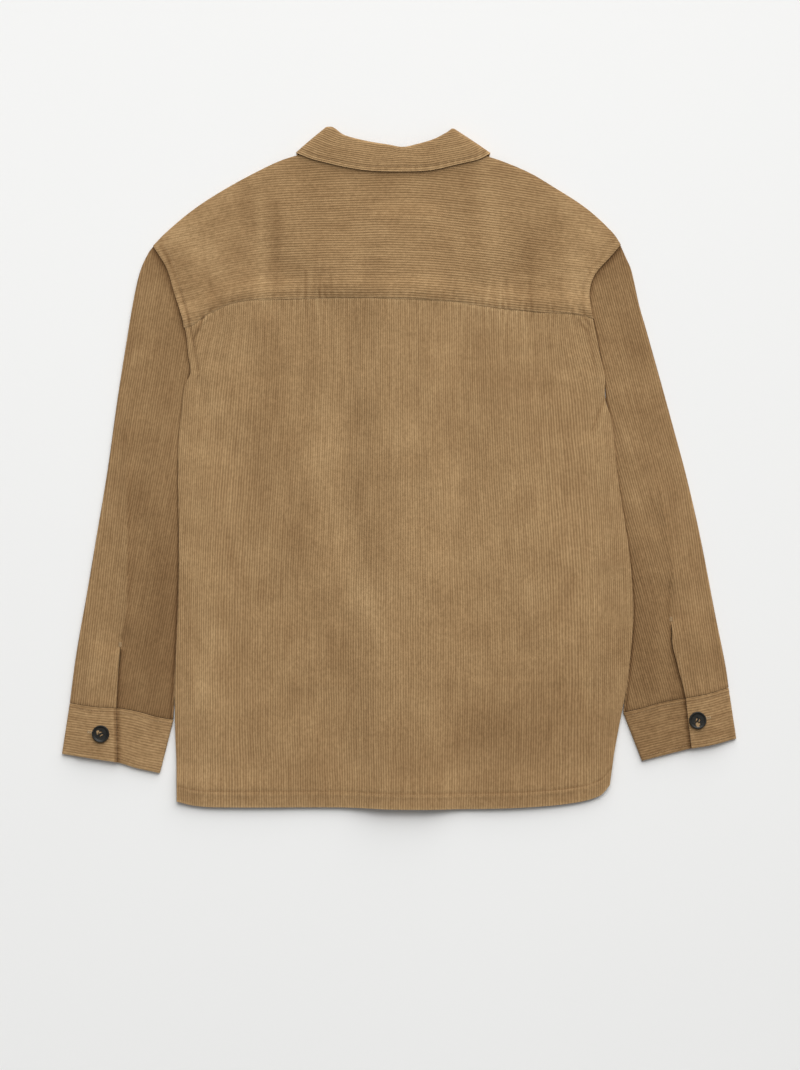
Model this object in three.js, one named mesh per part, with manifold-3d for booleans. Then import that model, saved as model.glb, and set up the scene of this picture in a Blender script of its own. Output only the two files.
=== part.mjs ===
// A corduroy overshirt laid flat on its front, seen from behind, with its sleeves down its sides.
// Millimetres, +X to the right, +Y to the collar, +Z up. It lies on the plane z = 0.
import * as THREE from 'three';
import { mergeVertices } from 'three/addons/utils/BufferGeometryUtils.js';
import Module from 'manifold-3d';

const wasm = await Module();
wasm.setup();

// Cloth
const cloth = 1.6;
const cuffCloth = 2.4;
const collarCloth = 2.6;
const seamGap = 0.3;
const half = cloth / 2;
const layer = cloth + seamGap;
const insideAir = 2.4;

// Front closure
const closureX = 6.6;
const placketHalf = 16;
const placketLeft = closureX - placketHalf;
const placketRight = closureX + placketHalf;
const button = { diameter: 19, thick: 3, rim: 1.5, dish: 0.9, hole: 2.2, holeAt: 2.3, sides: 18 };
const frontButtons = { count: 6, first: 246, pitch: -96 };

// Heights of the cloth's middle surface where the layers lie on each other
const floorMid = half;
const bandMid = button.thick + seamGap + half;
const leftMid = bandMid + layer;
const rightMid = leftMid + layer;
const collarLift = 3.9;

// How far past the placket each layer stays up, and how far it then takes to come down
const slopes = {
  left: { stay: 3, down: 43 },
  right: { stay: 2, down: 46 },
  back: { stay: 5, downLeft: 50, downRight: 46, neckY: 272, downNeck: 44 },
  hem: { stay: 44, down: 8 },
};
const collarPad = { x: 126, y: 104, centreY: 308, fade: 0.4 };

// Seams and hem
const yokeLap = 8;
const hemDepth = 17;
const hemFold = 1.6;
const edgeCurl = 12;
const sleeveLap = 4;
const lapEnds = { from: 0.22, fade: 0.12 };
const sleeveSwell = 1.3;
const sleeveClear = 1.2;
const armholeClear = 1;
const armpitClear = 1.2;
const armpitFade = 36;
const bodyWidth = 490;
const hemFade = 30;
const shoulders = { left: -100, right: 86, fade: 14 };
const lapRise = { extra: 0.4, stay: 3, fade: 16 };

// A table: the names of its columns, then a row of numbers for each section, point or fold
function table(names, ...rows) {
  const keys = names.split(' ');
  return rows.map((row) => Object.fromEntries(keys.map((key, i) => [key, row[i]])));
}

// Armholes, from the shoulder tip down to the armpit
const armholeLeft = table('x y',
  [-270, 246.5], [-256.6, 223.4], [-247.6, 194.2], [-238.4, 165], [-234.9, 148], [-229.9, 123.8],
  [-227.7, 106.2]);
const armholeRight = table('x y',
  [242, 248], [229.8, 233.6], [214.1, 214], [208.3, 196], [210.3, 173.5], [213, 164], [219.6, 129.9],
  [224.4, 103.2], [225, 76.9]);

// Side seams, from the armpit down to the hem
const sideLeft = table('x y',
  [-227.7, 106.2], [-232.9, 94.2], [-237.3, 76.2], [-242.4, 21.5], [-241.7, -99.6], [-243.3, -166.7],
  [-247.5, -267.9], [-245.9, -318.5], [-245.3, -365.8]);
const sideRight = table('x y',
  [225, 76.9], [231.3, 56.2], [235.3, 27.7], [238.2, -4.7], [246.1, -55.6], [252.2, -99.6],
  [255.8, -150], [254, -190], [246.4, -254.5], [236.3, -310.1], [230.9, -347.7]);

// Edges that run across the body, from left to right
const hemEdge = table('x y',
  [-245.3, -365.8], [-227.7, -371], [-203.5, -373.6], [-58.3, -374.2], [1.1, -376.2],
  [85.3, -376], [144.1, -373.9], [194.7, -368.3], [221.5, -359.3], [230.9, -347.7]);
const yokeSeam = table('x y',
  [-236.8, 155.5], [-228.8, 158], [-214.5, 166.5], [-197, 176.2], [-183.7, 181.6], [-161.7, 185.4],
  [-75.9, 187.6], [1.1, 186.5], [58.3, 183.6], [90.4, 178.4], [149.4, 172.7], [194.3, 169.8],
  [213, 165]);
const shoulderLeft = table('x y',
  [-270, 246.5], [-257.4, 260.2], [-225.5, 286.6], [-183.7, 313], [-141.9, 334.2], [-118, 343.2],
  [-95, 347.4]);
const shoulderRight = table('x y',
  [80, 346.5], [104, 341.2], [141.9, 326], [165, 313], [205.7, 286.6], [234.3, 260.2], [242, 248]);
const backNeck = table('x y',
  [-84, 347.9], [-66, 344.1], [-42, 340.1], [-18, 338.1], [6, 337.9], [26, 340.1], [48, 344.6],
  [68, 348.8]);
const leftNeck = table('x y',
  [-85.6, 333], [-61.2, 295.6], [-28.6, 273.9], [3, 267.6], [placketRight, 267.2]);
const rightNeck = table('x y',
  [placketLeft, 267.2], [10, 267.6], [34.6, 275.9], [51.2, 296.6], [71.4, 331]);

// Sleeves: the outer fold from the shoulder tip to the cuff
const outerLeft = table('x y',
  [-276.1, 239.3], [-284.9, 220.6], [-291.5, 194.2], [-300.6, 141.4], [-311, 75.4],
  [-322.2, -3.9], [-333.3, -69.9], [-344.4, -135.9], [-356, -201.9]);
const outerRight = table('x y',
  [248.8, 233.8], [254.6, 220.6], [263.6, 181], [271.2, 154.6], [289.7, 88.6], [300.5, 49],
  [314.8, -3.9], [330.1, -69.9], [348, -162.3], [358.6, -215.1]);

// Cuffs: the seam to the sleeve and the free edge, from the inner side to the outer
const cuffSeamLeft = table('x y',
  [-249.2, -276.2], [-267.7, -272.8], [-288.8, -267], [-310.6, -263.2], [-333.3, -262],
  [-363.4, -257.8]);
const cuffEdgeLeft = table('x y',
  [-264, -336.8], [-290, -331.2], [-309, -325.4], [-330, -322], [-372.5, -315.6]);
const cuffSeamRight = table('x y',
  [245.9, -268.1], [265.9, -263.5], [288.8, -256.8], [315.2, -252], [338.8, -247.5],
  [362.2, -240.7]);
const cuffEdgeRight = table('x y',
  [266.5, -322.3], [290, -316.2], [320, -308.8], [338.8, -305.8], [371.7, -297.8]);

// Collar: a section at each row, from the left front round the neck to the right front.
// turn is -1 on the front of the neck, 0 at its side and 1 on its back.
const collarSections = table('turn side seamX seamY rollX rollY edgeX edgeY',
  [-1, -1, 3, 268.5, 2, 280, -52, 214],
  [-1, -1, -28, 275, -24, 295, -80, 246],
  [-1, -1, -60, 297, -50, 322, -102, 290],
  [-1, -1, -84, 334, -72, 357, -111, 328],
  [-0.75, -1, -91, 347, -80, 372, -113.6, 343],
  [0, -1, -92.5, 350, -81.5, 375.3, -114.5, 346.5],
  [0.75, -1, -91, 350.3, -79.5, 375.8, -113.3, 346.6],
  [1, -1, -84, 348.8, -72, 374.7, -106, 343.9],
  [1, -1, -66, 345, -60, 366.6, -92, 339.1],
  [1, -1, -42, 341, -36, 360.3, -61, 331.8],
  [1, -1, -18, 339, -11, 356.1, -31.5, 327.4],
  [1, 1, 6, 338.8, 3.5, 353.9, 5.3, 326.6],
  [1, 1, 26, 341, 18, 356.8, 34.8, 328.1],
  [1, 1, 48, 345.5, 36.3, 362, 64.2, 334.7],
  [1, 1, 68, 350, 52, 370, 86.4, 339.9],
  [0.75, 1, 76, 352, 58.5, 373.6, 98.6, 345.6],
  [0, 1, 77.5, 351.5, 60, 373, 100.2, 346],
  [-0.75, 1, 76, 348.5, 58, 371, 99.3, 342.8],
  [-1, 1, 70, 332, 54, 354, 97, 326],
  [-1, 1, 50, 298, 40, 321, 92, 288],
  [-1, 1, 34, 277, 30, 296, 84, 246],
  [-1, 1, 10, 268.5, 11, 280, 66, 214]);

// Largest folds, each a soft ridge or trough along a line
const backFolds = table('x1 y1 x2 y2 height width',
  [225, 76, 211, 40, -1.1, 9],
  [-217, 90, -210, 58, -0.8, 8],
  [-152, 150, -138, -70, 0.7, 26],
  [-88, 120, -76, -250, -0.5, 28],
  [118, 130, 132, -120, 0.6, 30],
  [182, 30, 196, -230, -0.5, 24],
  [-196, -40, -204, -300, 0.5, 20]);
const leftFolds = table('x1 y1 x2 y2 height width',
  [-300, 30, -302, -172, 1.3, 10],
  [-284, 20, -284, -150, -0.7, 10],
  [-252, 150, -262, 96, -0.5, 12],
  [-322, 10, -338, -110, 0.5, 12]);
const rightFolds = table('x1 y1 x2 y2 height width',
  [288, -28, 304, -120, 1.3, 10],
  [278, 40, 286, -60, -0.6, 12],
  [296, -136, 300, -168, -0.7, 9],
  [236, 160, 246, 104, -0.5, 12]);

function clamp(value, low, high) {
  return Math.min(Math.max(value, low), high);
}

// 1 up to the start, then smoothly down to 0 over the span
function fall(distance, span) {
  const part = clamp(distance / span, 0, 1);
  return 1 - part * part * (3 - 2 * part);
}

function mix(from, to, part) {
  return from + (to - from) * part;
}

// A smooth run of values through knots, with each knot's slope taken from its neighbours
function smoothRun(knots, values) {
  const last = knots.length - 1;
  const slopes = knots.map((_, i) => {
    const low = Math.max(i - 1, 0);
    const high = Math.min(i + 1, last);
    return (values[high] - values[low]) / (knots[high] - knots[low]);
  });
  return (at) => {
    let i = 1;
    while (i < last && knots[i] < at) i += 1;
    const step = knots[i] - knots[i - 1];
    const f = (at - knots[i - 1]) / step;
    const rise = f * f * (3 - 2 * f);
    const leave = f * (1 - f) * (1 - f) * step * slopes[i - 1];
    const arrive = f * f * (f - 1) * step * slopes[i];
    return mix(values[i - 1], values[i], rise) + leave + arrive;
  };
}

// A curve through the points of a table, run through by its length from 0 to 1
function curve(rows) {
  const knots = [0];
  for (let i = 1; i < rows.length; i += 1) {
    knots.push(knots[i - 1] + Math.hypot(rows[i].x - rows[i - 1].x, rows[i].y - rows[i - 1].y));
  }
  const length = knots[knots.length - 1];
  const x = smoothRun(knots, rows.map((row) => row.x));
  const y = smoothRun(knots, rows.map((row) => row.y));
  return (t) => ({ x: x(t * length), y: y(t * length) });
}

// The height y over x of an edge that runs across the body
function edgeOver(rows) {
  return smoothRun(rows.map((row) => row.x), rows.map((row) => row.y));
}

// An edge over x between two ends, run through from 0 to 1
function span(edge, from, to) {
  return (t) => ({ x: mix(from, to, t), y: edge(mix(from, to, t)) });
}

// A patch of the plane between four edges that share their corners
function patch(left, right, top, bottom) {
  return (u, v) => {
    const blend = (key) => mix(left(v)[key], right(v)[key], u) + mix(top(u)[key], bottom(u)[key], v)
      - mix(mix(top(0)[key], top(1)[key], u), mix(bottom(0)[key], bottom(1)[key], u), v);
    return { x: blend('x'), y: blend('y') };
  };
}

// The height that a table of folds adds at a place
function folds(rows, x, y) {
  let sum = 0;
  for (const { x1, y1, x2, y2, height, width } of rows) {
    const length = Math.hypot(x2 - x1, y2 - y1);
    const along = ((x - x1) * (x2 - x1) + (y - y1) * (y2 - y1)) / length;
    const across = ((x - x1) * (y2 - y1) - (y - y1) * (x2 - x1)) / length;
    const ends = fall(-along, 2 * width) * fall(along - length, 2 * width);
    sum += height * ends * Math.exp(-((across / width) ** 2));
  }
  return sum;
}

// Several lifts over one place: the highest counts, with soft joins between them
function together(...lifts) {
  return lifts.reduce((sum, lift) => sum + lift ** 8, 0) ** 0.125;
}

// 1 where the collar lies over or under the body, 0 away from it
function underCollar(x, y) {
  return fall(Math.hypot(x / collarPad.x, (y - collarPad.centreY) / collarPad.y) - 1, collarPad.fade);
}

// Middle heights of the cloth at a place on the body
function frontLeftHeight(x, y) {
  const { stay, down } = slopes.left;
  const closure = (leftMid - floorMid) * fall(placketLeft - stay - x, down);
  return floorMid + together(closure, collarLift * underCollar(x, y));
}
function frontRightHeight(x, y) {
  const { stay, down } = slopes.right;
  const closure = (rightMid - floorMid) * fall(x - placketRight - stay, down);
  return floorMid + together(closure, collarLift * underCollar(x, y));
}
function backHeight(x, y) {
  const { stay, downLeft, downRight, neckY, downNeck } = slopes.back;
  const across = fall(placketLeft - stay - x, downLeft) * fall(x - placketRight - stay, downRight);
  const closure = (rightMid - floorMid) * across * fall(y - neckY, downNeck);
  const lift = together(closure, collarLift * underCollar(x, y));
  return floorMid + lift + cloth + insideAir + folds(backFolds, x, y);
}
function frontHeight(x, y) {
  return x < closureX ? frontLeftHeight(x, y) : frontRightHeight(x, y);
}

// How far an edge curls
function curl(distance) {
  return clamp(1 - distance / edgeCurl, 0, 1) ** 2;
}

// 1 on the shoulders, where the yoke is sewn to the fronts, 0 at the neck
function onShoulder(x) {
  return clamp(Math.max(shoulders.left - x, x - shoulders.right) / shoulders.fade, 0, 1);
}

// The height of a curled edge: both layers meet half way, a seam gap apart
function meeting(x, y, side) {
  return (backHeight(x, y) + frontHeight(x, y)) / 2 + side * (layer / 2 + 0.1);
}

// Steps from 0 to 1: close ones at the ends, even ones between
function steps(ends, count) {
  const inner = ends[ends.length - 1];
  const even = Array.from({ length: count - 1 }, (_, i) => mix(inner, 1 - inner, (i + 1) / count));
  return [...ends, ...even, ...ends.map((value) => 1 - value).reverse()];
}
function between(from, to, count) {
  return Array.from({ length: count + 1 }, (_, i) => mix(from, to, i / count));
}

// A closed wall between a grid of outer and a grid of inner points. A ring joins its last
// column to its first, down to the row where a slit opens it.
function wall(rows, columns, point, slitFrom = -1) {
  const places = [];
  const numbers = new Map();
  const vertex = (i, j, side) => {
    const column = j === columns && i <= slitFrom ? 0 : j;
    const key = `${i} ${column} ${side}`;
    if (!numbers.has(key)) {
      numbers.set(key, places.length);
      places.push(point(i, column, side));
    }
    return numbers.get(key);
  };
  const triangles = [];
  const quad = (a, b, c, d) => triangles.push([a, b, c], [a, c, d]);
  for (let i = 0; i < rows; i += 1) {
    for (let j = 0; j < columns; j += 1) {
      quad(vertex(i, j, 1), vertex(i + 1, j, 1), vertex(i + 1, j + 1, 1), vertex(i, j + 1, 1));
      quad(vertex(i, j, -1), vertex(i, j + 1, -1), vertex(i + 1, j + 1, -1), vertex(i + 1, j, -1));
    }
    if (i >= slitFrom) {
      quad(vertex(i, 0, -1), vertex(i + 1, 0, -1), vertex(i + 1, 0, 1), vertex(i, 0, 1));
      quad(vertex(i, columns, 1), vertex(i + 1, columns, 1), vertex(i + 1, columns, -1),
        vertex(i, columns, -1));
    }
  }
  for (let j = 0; j < columns; j += 1) {
    quad(vertex(0, j, 1), vertex(0, j + 1, 1), vertex(0, j + 1, -1), vertex(0, j, -1));
    quad(vertex(rows, j, -1), vertex(rows, j + 1, -1), vertex(rows, j + 1, 1), vertex(rows, j, 1));
  }
  return solidFrom(places, triangles);
}

// A geometry from points and triangles, with its faces turned outwards
function solidFrom(places, triangles) {
  const volume = triangles.reduce((sum, [a, b, c]) => {
    const [p, q, r] = [places[a], places[b], places[c]].map((place) => new THREE.Vector3(...place));
    return sum + p.dot(q.cross(r));
  }, 0);
  const geometry = new THREE.BufferGeometry();
  geometry.setAttribute('position', new THREE.Float32BufferAttribute(places.flat(), 3));
  geometry.setIndex((volume < 0 ? triangles.map(([a, b, c]) => [a, c, b]) : triangles).flat());
  geometry.computeVertexNormals();
  return geometry;
}

const corduroy = { color: 0x977a54, roughness: 0.95, metalness: 0 };
const horn = { color: 0x23231f, roughness: 0.35, metalness: 0 };
const jacket = new THREE.Group();

function add(name, geometry, finish) {
  const mesh = new THREE.Mesh(geometry, new THREE.MeshStandardMaterial(finish));
  mesh.name = name;
  jacket.add(mesh);
  return mesh;
}

// A body panel: its patch of the plane, its height and the depth of cloth inside its middle
function panel(name, place, across, down, height, inner = () => half) {
  const geometry = wall(down.length - 1, across.length - 1, (i, j, side) => {
    const u = across[j];
    const v = down[i];
    const { x, y } = place(u, v);
    const z = height(x, y, u, v);
    return [x, y, side > 0 ? z + half : z - inner(x, y, u, v)];
  });
  return add(name, geometry, corduroy);
}

// Edges shared by the body panels
const hemOver = edgeOver(hemEdge);
const seamOver = edgeOver(yokeSeam);
const yokeRow = { left: 3, right: 4 };
const yokeTop = edgeOver([...shoulderLeft, ...backNeck, ...shoulderRight]);
const acrossBack = steps([0, 0.012, 0.028], 18);
const leftEdge = armholeLeft[0].x;
const rightEdge = armholeRight[0].x;

// Yoke: from the shoulders and the neck down to its seam, where it laps over the back panel
function makeYoke() {
  const cornerLeft = { x: yokeSeam[0].x, y: seamOver(yokeSeam[0].x) };
  const cornerRight = { x: yokeSeam.at(-1).x, y: seamOver(yokeSeam.at(-1).x) };
  const place = patch(
    curve([...armholeLeft.slice(0, yokeRow.left + 1), cornerLeft]),
    curve([...armholeRight.slice(0, yokeRow.right + 1), cornerRight]),
    span(yokeTop, leftEdge, rightEdge),
    span(seamOver, cornerLeft.x, cornerRight.x),
  );
  const height = (x, y, u, v) => {
    const top = place(u, 0);
    const foot = place(u, 1);
    const aboveSeam = (1 - v) * Math.hypot(top.x - foot.x, top.y - foot.y);
    const belowTop = v * Math.hypot(top.x - foot.x, top.y - foot.y);
    const lap = (layer + lapRise.extra) * fall(aboveSeam - yokeLap - lapRise.stay, lapRise.fade);
    return mix(backHeight(x, y) + lap, meeting(x, y, 1), onShoulder(x) * curl(belowTop));
  };
  const down = [0, 0.035, 0.08, ...between(0.2, 0.8, 5), 0.87, 0.94, 1];
  return panel('back_yoke', place, acrossBack, down, height);
}

// Side seams: curled below the armpit, within reach of either side edge
function sideCurl(y, fromEdge, armpitY) {
  return curl(fromEdge) * fall(y - armpitY + armpitFade, armpitFade);
}

// 1 in the depth of the turned hem, 0 above it
function hemAt(x, y) {
  return fall(y - hemOver(x) - hemDepth + 1, 2);
}

// Back panel: from under the yoke's edge down to the hem
function makeBack() {
  const topLeft = armholeLeft[yokeRow.left];
  const topRight = armholeRight[yokeRow.right];
  const top = (x) => seamOver(clamp(x, yokeSeam[0].x, yokeSeam.at(-1).x)) + yokeLap;
  const place = patch(
    curve([topLeft, ...armholeLeft.slice(yokeRow.left + 1), ...sideLeft.slice(1)]),
    curve([topRight, ...armholeRight.slice(yokeRow.right + 1), ...sideRight.slice(1)]),
    span(top, topLeft.x, topRight.x),
    span(hemOver, hemEdge[0].x, hemEdge.at(-1).x),
  );
  const height = (x, y, u) => {
    const armpitY = u < 0.5 ? sideLeft[0].y : sideRight[0].y;
    const curled = sideCurl(y, Math.min(u, 1 - u) * bodyWidth, armpitY);
    const nearHem = fall(y - hemOver(x) - hemDepth, hemFade);
    const lift = (2 * hemFold - insideAir + seamGap) * nearHem;
    return mix(backHeight(x, y) + lift, meeting(x, y, 1) + 2 * hemFold * nearHem, curled);
  };
  const inner = (x, y) => half + hemFold * hemAt(x, y);
  const down = [0, 0.03, ...between(0.08, 0.92, 15), 0.945, 0.966, 0.972, 1];
  return panel('back_panel', place, acrossBack, down, height, inner);
}

// A front: from the shoulder and the neck down to the hem, and in to its edge at the closure
function makeFront(name, sign) {
  const isLeft = sign < 0;
  const edgeX = isLeft ? placketRight : placketLeft;
  const neckRows = isLeft ? [...shoulderLeft, ...leftNeck] : [...rightNeck, ...shoulderRight];
  const neckOver = edgeOver(neckRows);
  const arm = isLeft ? armholeLeft : armholeRight;
  const side = isLeft ? sideLeft : sideRight;
  const outer = curve([...arm, ...side.slice(1)]);
  const tipX = arm[0].x;
  const cornerX = side.at(-1).x;
  const closing = (t) => ({ x: edgeX, y: mix(neckOver(edgeX), hemOver(edgeX), t) });
  const place = isLeft
    ? patch(outer, closing, span(neckOver, tipX, edgeX), span(hemOver, cornerX, edgeX))
    : patch(closing, outer, span(neckOver, edgeX, tipX), span(hemOver, edgeX, cornerX));
  const ownHeight = isLeft ? frontLeftHeight : frontRightHeight;
  const height = (x, y, u, v) => {
    const fromEdge = (isLeft ? u : 1 - u) * Math.abs(edgeX - cornerX);
    const top = place(u, 0);
    const foot = place(u, 1);
    const belowTop = v * Math.hypot(top.x - foot.x, top.y - foot.y);
    const curled = Math.max(sideCurl(y, fromEdge, side[0].y), onShoulder(x) * curl(belowTop));
    return mix(ownHeight(x, y), meeting(x, y, -1), curled);
  };
  const hemTop = (x, y) => {
    const beside = 1 - fall(Math.abs(x - closureX) - slopes.hem.stay, slopes.hem.down);
    return hemFold * hemAt(x, y) * beside;
  };
  const fromSide = [0, 0.025, 0.055, ...between(0.14, 1, 11)];
  const across = isLeft ? fromSide : fromSide.map((value) => 1 - value).reverse();
  const down = [
    0, 0.02, 0.045, ...between(0.07, 0.27, 8), ...between(0.32, 0.93, 11), 0.955, 0.972, 0.977, 1,
  ];
  const geometry = wall(down.length - 1, across.length - 1, (i, j, way) => {
    const { x, y } = place(across[j], down[i]);
    const z = height(x, y, across[j], down[i]);
    return [x, y, way > 0 ? z + half + hemTop(x, y) : z - half];
  });
  return add(name, geometry, corduroy);
}

// Placket band: a strip of the left front's own points, moved out by one layer
function makeBand() {
  const down = between(0, 1, 22);
  const top = leftNeck.at(-1).y;
  const geometry = wall(down.length - 1, 2, (i, j, side) => {
    const x = mix(placketLeft, placketRight, j / 2);
    const y = mix(top, hemOver(x), down[i]);
    return [x, y, frontLeftHeight(x, y) - layer + side * half];
  });
  return add('front_band', geometry, corduroy);
}

// Stations round a flattened tube, from its opening over the outer fold, back under and up
// over the inner fold. Each has its place across, its height and the cloth's own direction.
function ringStations({ width, bottom, thick, outerFrom, innerTo, outerTop, innerTop, counts }) {
  const stations = [];
  const foldAt = (top) => {
    const reach = (top(1) - bottom) / 2;
    const inset = (reach + thick / 2) / width;
    return { reach, inset };
  };
  const outerFold = foldAt(outerTop);
  const innerFold = foldAt((w) => innerTop(1 - w));
  const outerEnd = 1 - outerFold.inset;
  for (const f of between(0, 1, counts.outer)) {
    const w = mix(outerFrom, outerEnd, f);
    stations.push({ w, z: mix(outerTop(w), bottom + 2 * outerFold.reach, f ** 6), nw: 0, nz: 1 });
  }
  for (let k = 1; k < counts.fold; k += 1) {
    const angle = Math.PI * (0.5 - k / counts.fold);
    stations.push({
      w: outerEnd + (outerFold.reach * Math.cos(angle)) / width,
      z: bottom + outerFold.reach * (1 + Math.sin(angle)),
      nw: Math.cos(angle),
      nz: Math.sin(angle),
    });
  }
  for (const f of between(0, 1, counts.under)) {
    stations.push({ w: mix(outerEnd, innerFold.inset, f), z: bottom, nw: 0, nz: -1 });
  }
  for (let k = 1; k < counts.fold; k += 1) {
    const angle = Math.PI * (0.5 - k / counts.fold);
    stations.push({
      w: innerFold.inset - (innerFold.reach * Math.cos(angle)) / width,
      z: bottom + innerFold.reach * (1 - Math.sin(angle)),
      nw: -Math.cos(angle),
      nz: -Math.sin(angle),
    });
  }
  for (const f of between(0, 1, counts.inner)) {
    const w = mix(innerFold.inset, innerTo, f);
    stations.push({ w, z: mix(bottom + 2 * innerFold.reach, innerTop(w), 1 - (1 - f) ** 6), nw: 0, nz: 1 });
  }
  return stations;
}

// Cuff: how far its ends lap, and the heights of its layers
const cuffLap = 22;
const cuffBottom = cuffCloth / 2;
const cuffTop = cuffBottom + cuffCloth + 0.5;
const cuffFlap = cuffTop + cuffCloth + seamGap;
const flapRise = { from: 0.96, to: 0.8 };

// The cuff's buttoned end rises from the outer fold over the other end
function flapHeight(w) {
  const part = fall(w - flapRise.to, flapRise.from - flapRise.to);
  return mix(cuffTop, cuffFlap, part);
}

// Slit of the sleeve, from its apex down to the cuff: how far its sides part or lap, and how
// high the outer side lies over the inner one
const slitRows = table('down lap lift', [0, 0, 0], [0.22, -1.6, 2.1], [0.5, 3, 2.5], [1, 20, 2.7]);
const slitLap = smoothRun(slitRows.map((row) => row.down), slitRows.map((row) => row.lap));
const slitLift = smoothRun(slitRows.map((row) => row.down), slitRows.map((row) => row.lift));

// Each arm: its tables, and where its slit lies down and across the sleeve and at the cuff's foot
const arms = [
  {
    name: 'left', sign: -1, armhole: armholeLeft, side: sideLeft, outer: outerLeft,
    seam: cuffSeamLeft, edge: cuffEdgeLeft, creases: leftFolds,
    slit: { from: 0.855, across: 0.585, acrossEnd: 0.553, foot: 0.44 },
    buttonAt: { x: -328.6, y: -291.1 },
  },
  {
    name: 'right', sign: 1, armhole: armholeRight, side: sideRight, outer: outerRight,
    seam: cuffSeamRight, edge: cuffEdgeRight, creases: rightFolds,
    slit: { from: 0.805, across: 0.495, acrossEnd: 0.59, foot: 0.525 },
    buttonAt: { x: 327.4, y: -276.2 },
  },
];

// A curve moved sideways, out from the body
function moved(path, distance) {
  return (t) => {
    const before = path(Math.max(t - 0.01, 0));
    const after = path(Math.min(t + 0.01, 1));
    const length = Math.hypot(after.x - before.x, after.y - before.y);
    const here = path(t);
    return {
      x: here.x - (distance * (after.y - before.y)) / length,
      y: here.y + (distance * (after.x - before.x)) / length,
    };
  };
}

// Sleeve: a flattened tube from the armhole to the cuff, its upper edge under the body's
function makeSleeve({ name, sign, armhole, side, outer, seam, creases, slit }) {
  const [armpit, ...rest] = [...armhole].reverse();
  const rising = curve([{ x: armpit.x + sign * armpitClear, y: armpit.y }, ...rest]);
  const start = moved(rising, -sign * armholeClear);
  const seamCurve = curve(seam);
  const end = (t) => ({ x: seamCurve(t).x, y: seamCurve(t).y + 0.5 });
  const clear = side.slice(1).filter((row) => row.y > seam[0].y + 30);
  const inner = curve([start(0), ...clear.map(({ x, y }) => ({ x: x + sign * sleeveClear, y })), end(0)]);
  const fold = curve([start(1), ...outer, end(1)]);
  const place = patch(inner, fold, start, end);
  const counts = { outer: 4, fold: 4, under: 6, inner: 5 };
  const columns = counts.outer + counts.fold * 2 + counts.under + counts.inner;
  const upper = [0, 0.03, ...between(0.08, slit.from, 12)];
  const down = [...upper, ...between(slit.from, 1, 4).slice(1)];
  const rings = down.map((s) => {
    const slitDown = clamp((s - slit.from) / (1 - slit.from), 0, 1);
    const a = place(0, s);
    const b = place(1, s);
    const width = Math.hypot(b.x - a.x, b.y - a.y);
    const edgeTop = mix(floorMid + layer + 0.2, cuffTop, s);
    const swell = sleeveSwell * Math.sin(Math.PI * clamp(s, 0.02, 0.98)) ** 0.7;
    const across = mix(slit.across, slit.acrossEnd, slitDown);
    const flat = (w) => {
      const { x, y } = place(w, s);
      const dome = Math.sin(Math.PI * clamp(w, 0, 1)) ** 0.6;
      return edgeTop + dome * swell + dome * folds(creases, x, y);
    };
    const lift = (w) => slitLift(slitDown) * fall(w - flapRise.to, flapRise.from - flapRise.to);
    return ringStations({
      width,
      bottom: floorMid,
      thick: cloth,
      outerFrom: across,
      innerTo: across + slitLap(slitDown) / width,
      outerTop: (w) => flat(w) + lift(w),
      innerTop: flat,
      counts,
    }).map((station) => ({ ...station, width }));
  });
  return { down, columns, rings, place };
}

function addSleeve(arm) {
  const { down, columns, rings, place } = makeSleeve(arm);
  const slitRow = down.findIndex((s) => s >= arm.slit.from - 1e-9);
  const geometry = wall(down.length - 1, columns, (i, j, side) => {
    const { w, z, nw, nz, width } = rings[i][j];
    const out = side * half;
    const at = place(w + (nw * out) / width, down[i]);
    const next = place(w, down[i] + 0.02);
    const away = Math.hypot(next.x - at.x, next.y - at.y);
    const inLap = fall(lapEnds.from - w, lapEnds.fade) * fall(w - 1 + lapEnds.from, lapEnds.fade);
    const lapped = i === 0 && nz > 0.9 ? sleeveLap * inLap : 0;
    return [
      at.x - (lapped * (next.x - at.x)) / away,
      at.y - (lapped * (next.y - at.y)) / away,
      z + nz * out,
    ];
  }, slitRow);
  return add(`sleeve_${arm.name}`, geometry, corduroy);
}

// Cuff: an open strip of doubled cloth round the sleeve's end, its buttoned end on top
function addCuff(arm) {
  const top = curve(arm.seam);
  const foot = curve(arm.edge);
  const place = (w, q) => ({ x: mix(top(w).x, foot(w).x, q), y: mix(top(w).y, foot(w).y, q) });
  const counts = { outer: 6, fold: 4, under: 6, inner: 7 };
  const columns = counts.outer + counts.fold * 2 + counts.under + counts.inner;
  const down = between(0, 1, 4);
  const geometry = wall(down.length - 1, columns, (i, j, side) => {
    const a = place(0, down[i]);
    const b = place(1, down[i]);
    const width = Math.hypot(b.x - a.x, b.y - a.y);
    const opening = mix(arm.slit.acrossEnd, arm.slit.foot, down[i]);
    const stations = ringStations({
      width,
      bottom: cuffBottom,
      thick: cuffCloth,
      outerFrom: opening,
      innerTo: opening + cuffLap / width,
      outerTop: flapHeight,
      innerTop: () => cuffTop,
      counts,
    });
    const { w, z, nw, nz } = stations[j];
    const out = (side * cuffCloth) / 2;
    const at = place(w + (nw * out) / width, down[i]);
    return [at.x, at.y, z + nz * out];
  });
  return add(`cuff_${arm.name}`, geometry, corduroy);
}

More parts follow.
